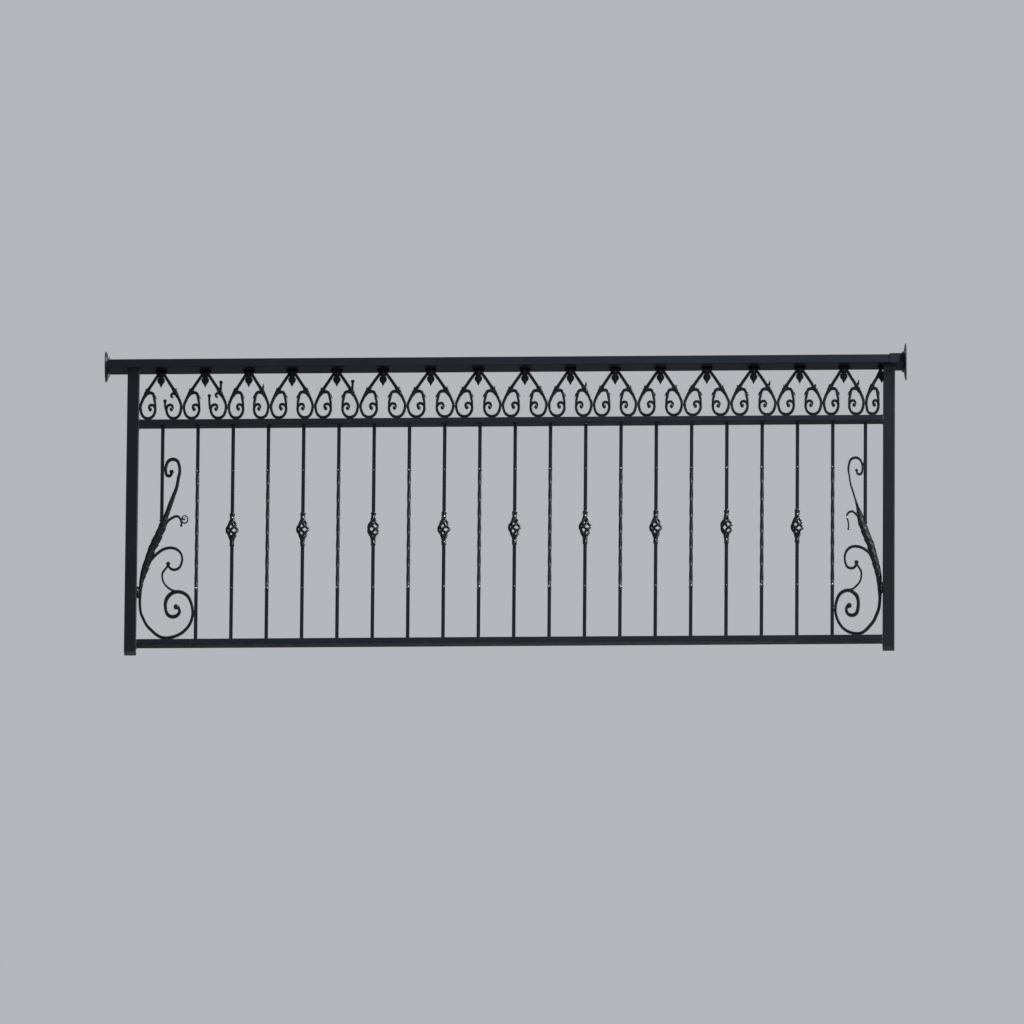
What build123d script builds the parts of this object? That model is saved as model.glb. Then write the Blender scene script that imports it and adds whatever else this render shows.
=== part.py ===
from build123d import *

import math
import os

os.makedirs("parts", exist_ok=True)

# A wrought iron balcony railing that fills the opening between two walls.
# X runs along the railing, -Y is its street side and Z is up.
# The origin is the centre of the left post's foot. All sizes are millimetres.

# Layout along the railing
bar_pitch = 120.0
full_bar_count = 19
left_end_bay = 102.0
right_last_pitch = 111.0
right_end_bay = 80.0
left_wall_distance = 97.0
right_wall_distance = 59.0

# Heights above the slab
top_rail_top = 1060.0
mid_rail_top = 845.0
bottom_rail_top = 45.0

# Square tube posts
post_width = 40.0
post_wall = 2.0
post_corner = 3.0
post_foot_thickness = 4.0

# Rectangular tube rails
top_rail_depth = 70.0
top_rail_height = 30.0
rail_depth = 40.0
rail_height = 20.0
rail_wall = 2.0
rail_corner = 2.0

# Slip sleeve and wall flanges of the top rail
sleeve_overlap = 18.0
sleeve_wall = 2.5
sleeve_clearance = 0.5
sleeve_play = 10.0
left_flange_diameter = 106.0
right_flange_diameter = 128.0
flange_thickness = 9.0
flange_rim = 4.0
flange_boss_diameter = 84.0
flange_sides = 24
flange_bolt_spacing = 60.0
flange_hole_diameter = 9.0

# Square bars, with a twisted or a basket length welded into each full bar
bar_width = 12.0
insert_bottom = 228.0
insert_top = 660.0
twisted_width = 9.8
twist_angle = 630.0
twist_steps = 11

# Basket of twisted rods
basket_centre = 445.0
basket_length = 105.0
basket_diameter = 46.0
basket_rods = 4
basket_rod_width = 6.0
basket_neck = 8.4
basket_belly_power = 3
basket_twist = 360.0
basket_steps = 6
collar_width = 18.0
collar_height = 9.0
collar_sides = 8

# Heart scrolls of the frieze, each forged to its own width, and the size they are drawn at
heart_widths = [148, 153, 144, 151, 154, 161, 164, 160, 157, 153, 152, 156, 160, 158, 156, 144]
frieze_band = 7.0
frieze_hook = 5.5
frieze_sheath = 11.5
frieze_tendril = 8.0
frieze_depth = 8.0
frieze_bulb = 9.5
drawn_heart_width = 156.0
drawn_frieze_height = 185.0

# Leaf under the top rail in each heart, below a crown that holds both legs
leaf_length = 70.0
leaf_width = 25.0
leaf_neck = 14.0
leaf_crown = 38.0
leaf_thickness = 6.0

# End scrolls, and the size they are drawn at
scroll_band = 8.5
left_curl_band = 8.5
right_curl_band = 5.5
left_neck = 15.0
right_neck = 7.0
scroll_tip = 6.0
scroll_link = 5.0
scroll_depth = 12.0
scroll_bulb = 14.0
middle_bulb = 12.0
top_bulb_width = 9.0
curl_width = 48.0
eye_diameter = 23.0
eye_hole_diameter = 12.0
stem_leaf = 26.0
stem_leaf_foot = 21.0
drawn_scroll_width = 198.0
drawn_scroll_height = 780.0
left_hook_end = (149, 419, -100)
right_hook_end = (141, 388, -96)

# Hammered curves turn by about this many degrees at each flat
frieze_facet = 40.0
scroll_facet = 22.0
bulb_sides = 6
eye_sides = 12

# Gap left for the weld wherever a forging meets its neighbour, and the pads that scrolls stand on
weld_gap = 0.2
weld_pad_height = 6.0
frieze_pad_width = 12.0
scroll_pad_length = 32.0

# Sizes that follow from the driving dimensions
last_full_bar = left_end_bay + full_bar_count * bar_pitch
post_spacing = last_full_bar + right_last_pitch + right_end_bay
post_half = post_width / 2
bar_half = bar_width / 2
top_rail_bottom = top_rail_top - top_rail_height
mid_rail_bottom = mid_rail_top - rail_height
bottom_rail_bottom = bottom_rail_top - rail_height
sleeve_margin = sleeve_clearance + sleeve_wall
sleeve_start = post_spacing + post_half - sleeve_overlap
left_flange_face = flange_thickness - left_wall_distance
right_flange_face = post_spacing + right_wall_distance - flange_thickness
frieze_height = top_rail_bottom - mid_rail_top
panel_height = mid_rail_bottom - bottom_rail_top
rail_centre_height = top_rail_bottom + top_rail_height / 2


def heading_vector(degrees):
    """Unit vector on the drawing plane, 0 along the railing and 90 straight up."""
    return Vector(math.cos(math.radians(degrees)), math.sin(math.radians(degrees)))


def flats(start, end, tangent, facet):
    """Points after the start of an arc that leaves along the tangent, about facet degrees apart."""
    chord = (end - start).normalized()
    turn = 2 * math.degrees(math.asin(min(1, abs(chord.cross(tangent).Z))))
    count = max(1, round(turn / facet))
    if count == 1:
        return [end]
    arc = TangentArc(start, end, tangent=tangent)
    return [arc @ (i / count) for i in range(1, count + 1)]


def flow(stations, facet):
    """Points of a smooth line through (x, z, heading) stations, two tangent arcs to each pair.
    A pair that hardly turns is one flat."""
    points = [Vector(*stations[0][:2])]
    for (x1, z1, heading1), (x2, z2, heading2) in zip(stations, stations[1:]):
        start, end = Vector(x1, z1), Vector(x2, z2)
        if abs(heading2 - heading1) < facet / 2:
            points.append(end)
            continue
        leaving, arriving = heading_vector(heading1), heading_vector(heading2)
        chord = end - start
        along = chord.dot(leaving + arriving)
        turn = 2 * (1 - leaving.dot(arriving))
        if turn > 1e-9:
            reach = (math.sqrt(along**2 + turn * chord.dot(chord)) - along) / turn
        else:
            reach = chord.dot(chord) / (2 * along)
        first_corner = start + leaving * reach
        second_corner = end - arriving * reach
        middle = (first_corner + second_corner) / 2
        across = (second_corner - first_corner).normalized()
        points += flats(start, middle, leaving, facet) + flats(middle, end, across, facet)
    return points


def beside(station, side):
    """Station on one edge of the band, half its width to the left or right of travel."""
    x, z, heading, width = station
    normal = heading_vector(heading + 90) * (side * width / 2)
    return x + normal.X, z + normal.Y, heading


def forged_band(stations, facet, bulb=0.0):
    """Face of a flat forging through (x, z, heading, width) stations, with an optional bulb."""
    left = flow([beside(station, 1) for station in stations], facet)
    right = flow([beside(station, -1) for station in stations], facet)
    band = make_face(Polyline(left + right[::-1], close=True))
    if bulb:
        x, z = stations[-1][:2]
        band = band + Pos(x, z) * RegularPolygon(bulb / 2, bulb_sides)
    return band


def upright(drawing, depth):
    """Solid of a drawing set up in the railing's plane, centred on that plane."""
    return extrude(Plane.XZ.offset(-depth / 2) * drawing, amount=depth, dir=(0, -1, 0))


def block(left, bottom, right, top):
    """Drawing of a rectangle between two corners."""
    return Pos((left + right) / 2, (bottom + top) / 2) * Rectangle(right - left, top - bottom)


def tube(depth, height, wall, corner):
    """Section of a rectangular tube with rounded outer corners."""
    return RectangleRounded(depth, height, corner) - Rectangle(depth - 2 * wall, height - 2 * wall)


def rail(start, end, section, centre_height):
    """Length of tube along X between two places."""
    return extrude(Plane.YZ.offset(start) * Pos(0, centre_height) * section, amount=end - start)


def post(x, top):
    """Square tube post, closed at its foot by a welded plate."""
    section = tube(post_width, post_width, post_wall, post_corner)
    bore = post_width - 2 * post_wall
    foot = Box(bore, bore, post_foot_thickness, align=(Align.CENTER, Align.CENTER, Align.MIN))
    return Pos(x, 0, 0) * (extrude(section, amount=top) + foot)


def ring(diameter, sides, height, angle=0.0):
    """Corners of a regular section at one height, the first at an angle about Z."""
    turns = (math.radians(angle + 360 * i / sides) for i in range(sides))
    return [Vector(math.cos(a) * diameter / 2, math.sin(a) * diameter / 2, height) for a in turns]


def square_ring(width, height, angle=0.0):
    """Corners of a square bar's section at one height, turned about the bar's axis."""
    return ring(width * math.sqrt(2), 4, height, angle + 45)


def flat_sided(rings):
    """Solid whose flats join each ring of corners to the next."""
    faces = [Face(Wire.make_polygon(corners)) for corners in (rings[0], rings[-1])]
    for lower, upper in zip(rings, rings[1:]):
        for i in range(len(lower)):
            j = (i + 1) % len(lower)
            faces.append(Face(Wire.make_polygon([lower[i], lower[j], upper[i]])))
            faces.append(Face(Wire.make_polygon([upper[i], lower[j], upper[j]])))
    return Solid(Shell(faces))


def wall_flange(diameter):
    """Forged wall plate, flat at x = 0, that rises from a thin rim to a flat boss and takes two bolts."""
    plate = flat_sided(
        [
            ring(diameter, flange_sides, 0),
            ring(diameter, flange_sides, flange_rim),
            ring(flange_boss_diameter, flange_sides, flange_thickness),
        ]
    )
    for side in (-1, 1):
        bore = extrude(Circle(flange_hole_diameter / 2), amount=flange_thickness)
        plate -= Pos(0, side * flange_bolt_spacing / 2, 0) * bore
    return Plane.YZ * Pos(0, rail_centre_height, 0) * plate


def twisted_bar(x):
    """Square bar whose middle length is twisted, between two plain ends."""
    rise = (insert_top - insert_bottom) / twist_steps
    step_angle = twist_angle / twist_steps
    rings = [square_ring(bar_width, bottom_rail_top), square_ring(bar_width, insert_bottom)]
    for i in range(1, twist_steps):
        rings.append(square_ring(twisted_width, insert_bottom + i * rise, i * step_angle))
    for height in (insert_top, mid_rail_bottom):
        rings.append(square_ring(bar_width, height, twist_angle))
    return Pos(x, 0, 0) * flat_sided(rings)


def basket_rod(start_angle):
    """One rod of a basket, bellied out and turned about the bar's axis as it climbs."""
    narrow = basket_neck / 2
    belly = (basket_diameter - basket_rod_width) / 2 - narrow
    rings = []
    for i in range(basket_steps + 1):
        share = i / basket_steps
        radius = narrow + belly * math.sin(math.pi * share) ** basket_belly_power
        angle = start_angle + basket_twist * share
        height = basket_centre + basket_length * (share - 0.5)
        outward = heading_vector(angle)
        across = heading_vector(angle + 90)
        centre = outward * radius + Vector(0, 0, height)
        half = basket_rod_width / 2
        signs = ((1, -1), (1, 1), (-1, 1), (-1, -1))
        rings.append([centre + outward * (a * half) + across * (b * half) for a, b in signs])
    return flat_sided(rings)


def basket_bar(x):
    """Square bar that opens at mid height into a basket of rods between two collars."""
    bar = None
    for end, side in ((bottom_rail_top, -1), (mid_rail_bottom, 1)):
        collar_centre = basket_centre + side * (basket_length + collar_height) / 2
        length = abs(end - collar_centre)
        stub = Pos(0, 0, (end + collar_centre) / 2) * Box(bar_width, bar_width, length)
        profile = RegularPolygon(collar_width / 2, collar_sides, major_radius=False)
        collar = Pos(0, 0, collar_centre - collar_height / 2) * extrude(profile, amount=collar_height)
        bar = stub + collar if bar is None else bar + stub + collar
    for i in range(basket_rods):
        bar += basket_rod(i * 360 / basket_rods)
    return Pos(x, 0, 0) * bar


def frieze_leg(half_width):
    """Drawing of one leg of a heart scroll, to the right of its apex under the top rail."""
    stretch_x = 2 * half_width / drawn_heart_width
    stretch_z = frieze_height / drawn_frieze_height
    seat = weld_pad_height + frieze_band / 2
    outer = half_width - frieze_band / 2 - weld_gap

    def at(x, z, heading, width=frieze_band):
        return x * stretch_x, z * stretch_z, heading, width

    bar = forged_band(
        [
            at(-4, 193, -55),
            at(54, 101, -61, frieze_sheath),
            (outer, 52 * stretch_z, -90, frieze_band),
            (46 * stretch_x, seat, 180, frieze_band),
            at(20, 43, 90),
            at(35, 59, 0, frieze_hook),
            at(42, 46, -100, frieze_hook),
        ],
        frieze_facet,
        frieze_bulb,
    )
    tendril = forged_band(
        [
            at(50, 102, 178, frieze_tendril),
            at(23, 80, -94, frieze_tendril),
            at(20, 43, -90),
        ],
        frieze_facet,
    )
    pad_start = 46 * stretch_x - frieze_pad_width / 2
    pad = block(pad_start, weld_gap, pad_start + frieze_pad_width, seat)
    return (bar + tendril + pad) & block(0, 0, half_width, frieze_height - weld_gap)


def heart_row():
    """Apex and width of each whole heart, and the width left beside the right post."""
    hearts = []
    start = post_half
    for width in heart_widths:
        hearts.append((start + width / 2, width))
        start += width
    return hearts, post_spacing - post_half - start


def frieze():
    """Row of heart scrolls between the top and mid rails, ending in half a scroll."""
    hearts, rest = heart_row()
    solids = []
    for apex, width in hearts:
        leg = frieze_leg(width / 2)
        heart = upright(leg + mirror(leg, Plane.YZ), frieze_depth)
        solids.append(Pos(apex, 0, mid_rail_top) * heart)
    half = upright(mirror(frieze_leg(rest), Plane.YZ), frieze_depth)
    solids.append(Pos(post_spacing - post_half, 0, mid_rail_top) * half)
    return solids


def leaf_pendants():
    """Three-pointed leaf below its crown, under the top rail in each scroll of the frieze."""
    half_leaf = [
        (0, 0),
        (0.5 * leaf_crown, 0),
        (0.5 * leaf_crown, -0.08 * leaf_length),
        (0.5 * leaf_neck, -0.36 * leaf_length),
        (0.5 * leaf_neck, -0.48 * leaf_length),
        (0.5 * leaf_width, -0.62 * leaf_length),
        (0.42 * leaf_width, -0.8 * leaf_length),
        (0.16 * leaf_width, -0.84 * leaf_length),
        (0, -leaf_length),
    ]
    right = make_face(Polyline(half_leaf, close=True))
    leaf = upright(right + mirror(right, Plane.YZ), leaf_thickness)
    hearts = heart_row()[0]
    front = -(frieze_depth + leaf_thickness) / 2 - weld_gap
    hang = top_rail_bottom - weld_gap
    leaves = [Pos(apex, front, hang) * leaf for apex, width in hearts]
    half = upright(mirror(right, Plane.YZ), leaf_thickness)
    leaves.append(Pos(post_spacing - post_half - weld_gap, front, hang) * half)
    return leaves


def end_scroll(end_bay, next_pitch, curl_band, neck, hook_end, has_ring):
    """Tall S-scroll with a leafy stem, drawn from the centre of its post towards the bars.
    Its top curl has its own band, and the stem its own neck above the leaf. The hook that
    leaves the leaf ends at hook_end, beside a ring on one of the scrolls."""
    span = end_bay + next_pitch - bar_half - post_half
    stretch_x = span / drawn_scroll_width
    stretch_z = panel_height / drawn_scroll_height

    def at(x, z, heading, width=scroll_band):
        return post_half + x * stretch_x, bottom_rail_top + z * stretch_z, heading, width

    curl = end_bay + bar_half + weld_gap + curl_band / 2

    def on_curl(share, z, heading, width=curl_band):
        return curl + share * curl_width, bottom_rail_top + z * stretch_z, heading, width

    seat = bottom_rail_top + weld_pad_height + scroll_band / 2
    bar_touch = post_half + span - weld_gap - scroll_band / 2
    stem = forged_band(
        [
            on_curl(0.42, 616, -90, scroll_tip),
            on_curl(0.23, 600, 180),
            on_curl(0, 624, 90),
            on_curl(0.5, 661, 0),
            on_curl(1, 616, -90),
            at(112, 497, -107, neck),
            at(88, 421, -112, stem_leaf),
            at(50, 332, -112, stem_leaf),
            at(26, 256, -106, stem_leaf_foot),
            at(13, 180, -94, scroll_band),
            at(12, 135, -88),
            at(31, 66, -58),
            (post_half + 102 * stretch_x, seat, 0, scroll_band),
            (bar_touch, bottom_rail_top + 100 * stretch_z, 90, scroll_band),
            at(140, 178, 180),
            at(99, 131, -90),
            at(125, 87, 0),
            at(148, 109, 90, scroll_tip),
            at(136, 123, 180, scroll_tip),
        ],
        scroll_facet,
        scroll_bulb,
    )
    bulb_x, bulb_z = on_curl(0.38, 618, -90)[:2]
    top_bulb = Pos(bulb_x, bulb_z) * RegularPolygon(top_bulb_width / 2, bulb_sides)
    middle_curl = forged_band(
        [
            at(32, 262, 72),
            at(60, 310, 50),
            at(114, 338, 0),
            at(155, 298, -90),
            at(128, 258, 180, scroll_tip),
            at(109, 280, 90, scroll_tip),
        ],
        scroll_facet,
        middle_bulb,
    )
    link = forged_band(
        [
            at(106, 274, -120, scroll_link),
            at(88, 238, -90, scroll_link),
            at(99, 202, -52, scroll_link),
            at(134, 180, -8, scroll_link),
        ],
        scroll_facet,
    )
    hook = forged_band(
        [
            at(90, 414, 60),
            at(114, 446, 32, scroll_tip),
            at(133, 453, 0, scroll_tip),
            at(148, 436, -84, scroll_link),
            at(*hook_end, scroll_link),
        ],
        scroll_facet,
    )
    stem_x, pad_bottom = at(13, 160, 0)[:2]
    post_pad = block(post_half + weld_gap, pad_bottom, stem_x, pad_bottom + scroll_pad_length)
    pad_start = at(102, 0, 0)[0] - scroll_pad_length / 2
    rail_pad = block(pad_start, bottom_rail_top + weld_gap, pad_start + scroll_pad_length, seat)
    drawing = stem + top_bulb + middle_curl + link + hook + post_pad + rail_pad
    if has_ring:
        eye = RegularPolygon(eye_diameter / 2, eye_sides)
        eye -= RegularPolygon(eye_hole_diameter / 2, eye_sides)
        ring_x, ring_z = at(159, 443, 0)[:2]
        drawing += Pos(ring_x, ring_z) * eye
    return upright(drawing, scroll_depth)


def short_bar(end_bay, scroll):
    """Bar from the mid rail that ends on the stem of the end scroll, coped to its shape."""
    reach = mid_rail_bottom - basket_centre
    blank = Pos(end_bay, 0, mid_rail_bottom - reach / 2) * Box(bar_width, bar_width, reach)
    return (blank - scroll).solids().sort_by(Axis.Z)[-1]


def name_series(name, count):
    """Names of repeated pieces, numbered from 01."""
    return [f"{name}_{i + 1:02d}" for i in range(count)]


def build():
    """All pieces of the railing by name."""
    rail_section = tube(rail_depth, rail_height, rail_wall, rail_corner)
    top_section = tube(top_rail_depth, top_rail_height, rail_wall, rail_corner)
    sleeve_section = tube(
        top_rail_depth + 2 * sleeve_margin,
        top_rail_height + 2 * sleeve_margin,
        sleeve_wall,
        rail_corner,
    )
    inner_start = post_half
    inner_end = post_spacing - post_half
    left_scroll = end_scroll(
        left_end_bay, bar_pitch, left_curl_band, left_neck, left_hook_end, True
    )
    right_scroll_drawn = end_scroll(
        right_end_bay, right_last_pitch, right_curl_band, right_neck, right_hook_end, False
    )
    to_right = Pos(post_spacing, 0, 0)
    pieces = {
        "top_rail": rail(
            left_flange_face, right_flange_face - sleeve_play, top_section, rail_centre_height
        ),
        "top_rail_sleeve": rail(
            sleeve_start, right_flange_face, sleeve_section, rail_centre_height
        ),
        "mid_rail": rail(
            inner_start, inner_end, rail_section, (mid_rail_top + mid_rail_bottom) / 2
        ),
        "bottom_rail": rail(
            inner_start, inner_end, rail_section, (bottom_rail_top + bottom_rail_bottom) / 2
        ),
        "left_post": post(0, top_rail_bottom),
        "right_post": post(post_spacing, top_rail_bottom - sleeve_margin),
        "left_wall_flange": Pos(-left_wall_distance, 0, 0) * wall_flange(left_flange_diameter),
        "right_wall_flange": Pos(post_spacing + right_wall_distance, 0, 0)
        * mirror(wall_flange(right_flange_diameter), Plane.YZ),
        "left_end_scroll": left_scroll,
        "right_end_scroll": to_right * mirror(right_scroll_drawn, Plane.YZ),
        "left_short_bar": short_bar(left_end_bay, left_scroll),
        "right_short_bar": to_right
        * mirror(short_bar(right_end_bay, right_scroll_drawn), Plane.YZ),
        "frieze_scrolls": Compound(children=frieze()),
        "leaf_pendants": Compound(children=leaf_pendants()),
    }
    full_bars = [left_end_bay + (i + 1) * bar_pitch for i in range(full_bar_count)]
    twisted_places = full_bars[0::2]
    basket_places = full_bars[1::2]
    for name, x in zip(name_series("twisted_bar", len(twisted_places)), twisted_places):
        pieces[name] = twisted_bar(x)
    for name, x in zip(name_series("basket_bar", len(basket_places)), basket_places):
        pieces[name] = basket_bar(x)
    return pieces


for piece_name, piece in build().items():
    export_step(piece, f"parts/{piece_name}.step")
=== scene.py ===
"""Finishes and forged detail of a wrought iron balcony railing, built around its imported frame."""

import logging
import math
from dataclasses import dataclass, field
from enum import Enum
from typing import Callable, Iterable, Optional, Sequence

import bmesh
import bpy
from mathutils import Matrix, Vector


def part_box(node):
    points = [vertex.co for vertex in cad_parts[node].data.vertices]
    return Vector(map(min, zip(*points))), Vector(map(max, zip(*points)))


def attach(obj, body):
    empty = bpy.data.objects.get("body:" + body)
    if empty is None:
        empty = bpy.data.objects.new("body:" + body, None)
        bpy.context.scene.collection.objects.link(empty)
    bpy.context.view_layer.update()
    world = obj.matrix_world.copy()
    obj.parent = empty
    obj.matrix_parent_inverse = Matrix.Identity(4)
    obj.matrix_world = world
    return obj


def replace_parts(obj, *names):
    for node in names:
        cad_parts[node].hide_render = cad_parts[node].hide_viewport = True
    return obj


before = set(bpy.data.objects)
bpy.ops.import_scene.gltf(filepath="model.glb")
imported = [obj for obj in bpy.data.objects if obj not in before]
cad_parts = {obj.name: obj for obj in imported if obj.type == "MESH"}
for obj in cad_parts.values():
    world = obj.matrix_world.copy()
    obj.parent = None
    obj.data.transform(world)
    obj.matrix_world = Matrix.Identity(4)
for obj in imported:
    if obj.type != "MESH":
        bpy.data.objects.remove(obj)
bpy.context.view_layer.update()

LOG = logging.getLogger("railing")
BODY = "root"
MM = 0.001
ACROSS = Vector((1.0, 0.0, 0.0))
BACK = Vector((0.0, 1.0, 0.0))
STREET = Vector((0.0, -1.0, 0.0))
UP = Vector((0.0, 0.0, 1.0))

Tree = bpy.types.NodeTree
Socket = bpy.types.NodeSocket


# Colours and node helpers


def linear(hex_colour: str) -> tuple[float, float, float, float]:
    """Turns an sRGB hex colour into Blender's linear one.

    Args:
        hex_colour: Six hex digits, with or without a leading hash.

    Returns:
        Red, green, blue and alpha, from 0 to 1.
    """
    digits = hex_colour.lstrip("#")
    channels = [int(digits[i : i + 2], 16) / 255 for i in (0, 2, 4)]
    red, green, blue = (
        c / 12.92 if c <= 0.04045 else ((c + 0.055) / 1.055) ** 2.4 for c in channels
    )
    return red, green, blue, 1.0


def per_metre(size_mm: float) -> float:
    """Texture scale at which one feature of a pattern is size_mm wide."""
    return 1.0 / (size_mm * MM)


def add_node(
    tree: bpy.types.NodeTree,
    kind: str,
    values: Optional[dict] = None,
    links: Optional[dict] = None,
    **settings: object,
) -> bpy.types.Node:
    """Adds one node with its settings, constant inputs and links.

    Args:
        tree: Node tree that the node goes into.
        kind: Blender's name of the node type.
        values: Constant for each input, by the input's name or number.
        links: Output socket that feeds each input, by the input's name or number.
        settings: Attributes of the node itself, such as operation.

    Returns:
        The new node.
    """
    node = tree.nodes.new(kind)
    for attribute, value in settings.items():
        setattr(node, attribute, value)
    for socket, value in (values or {}).items():
        node.inputs[socket].default_value = value
    for socket, source in (links or {}).items():
        tree.links.new(source, node.inputs[socket])
    return node


def new_material(name: str) -> tuple[bpy.types.Material, bpy.types.NodeTree, bpy.types.Node]:
    """Starts a material with an empty tree and a Principled shader on its output.

    Args:
        name: Name of the material, after what it is really made of.

    Returns:
        The material, its node tree and its shader.
    """
    material = bpy.data.materials.new(name)
    material.use_nodes = True
    tree = material.node_tree
    tree.nodes.clear()
    shader = add_node(tree, "ShaderNodeBsdfPrincipled")
    add_node(tree, "ShaderNodeOutputMaterial", links={"Surface": shader.outputs["BSDF"]})
    return material, tree, shader


def object_place(tree: Tree) -> Socket:
    """Coordinates that stay with the piece."""
    return add_node(tree, "ShaderNodeTexCoord").outputs["Object"]


def noise(
    tree: Tree, place: Socket, size_mm: float, detail: float = 2.0, roughness: float = 0.5
) -> Socket:
    """Adds noise whose features are size_mm wide.

    Args:
        tree: Node tree that it goes into.
        place: Coordinates that it follows.
        size_mm: Width of one feature.
        detail: Number of finer layers.
        roughness: Weight of the finer layers.

    Returns:
        The noise, around 0.5.
    """
    values = {"Scale": per_metre(size_mm), "Detail": detail, "Roughness": roughness}
    return add_node(tree, "ShaderNodeTexNoise", values, {"Vector": place}).outputs["Fac"]


def remap(
    tree: Tree, value: Socket, source: tuple[float, float], target: tuple[float, float]
) -> Socket:
    """Maps one range of a value to another and clamps it there.

    Args:
        tree: Node tree that it goes into.
        value: Socket with the value.
        source: Start and end of the range that is read.
        target: Start and end of the range that is given.

    Returns:
        The mapped value.
    """
    names = ("From Min", "From Max", "To Min", "To Max")
    values = dict(zip(names, (*source, *target)))
    return add_node(tree, "ShaderNodeMapRange", values, {"Value": value}).outputs["Result"]


def blend(tree: Tree, share: Socket, first: str | Socket, second: str) -> Socket:
    """Blends two colours.

    Args:
        tree: Node tree that it goes into.
        share: Share of the second colour.
        first: Hex colour, or the socket with a colour that was blended before.
        second: Hex colour.

    Returns:
        The blended colour.
    """
    values, links = {7: linear(second)}, {0: share}
    if isinstance(first, str):
        values[6] = linear(first)
    else:
        links[6] = first
    return add_node(tree, "ShaderNodeMix", values, links, data_type="RGBA").outputs[2]


def relief(
    tree: Tree, height: Socket, strength: float, deep_mm: float, under: Optional[Socket] = None
) -> Socket:
    """Turns a height into a bumped normal.

    Args:
        tree: Node tree that it goes into.
        height: Socket with the height.
        strength: Share of the relief that shows.
        deep_mm: Depth of the relief.
        under: Normal of the relief below this one.

    Returns:
        The normal.
    """
    links = {"Height": height}
    if under:
        links["Normal"] = under
    values = {"Strength": strength, "Distance": deep_mm * MM}
    return add_node(tree, "ShaderNodeBump", values, links).outputs["Normal"]


def multiply(tree: Tree, first: Socket, second: Socket) -> Socket:
    """Product of two values."""
    links = {0: first, 1: second}
    return add_node(tree, "ShaderNodeMath", links=links, operation="MULTIPLY").outputs[0]


# Finishes


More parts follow.
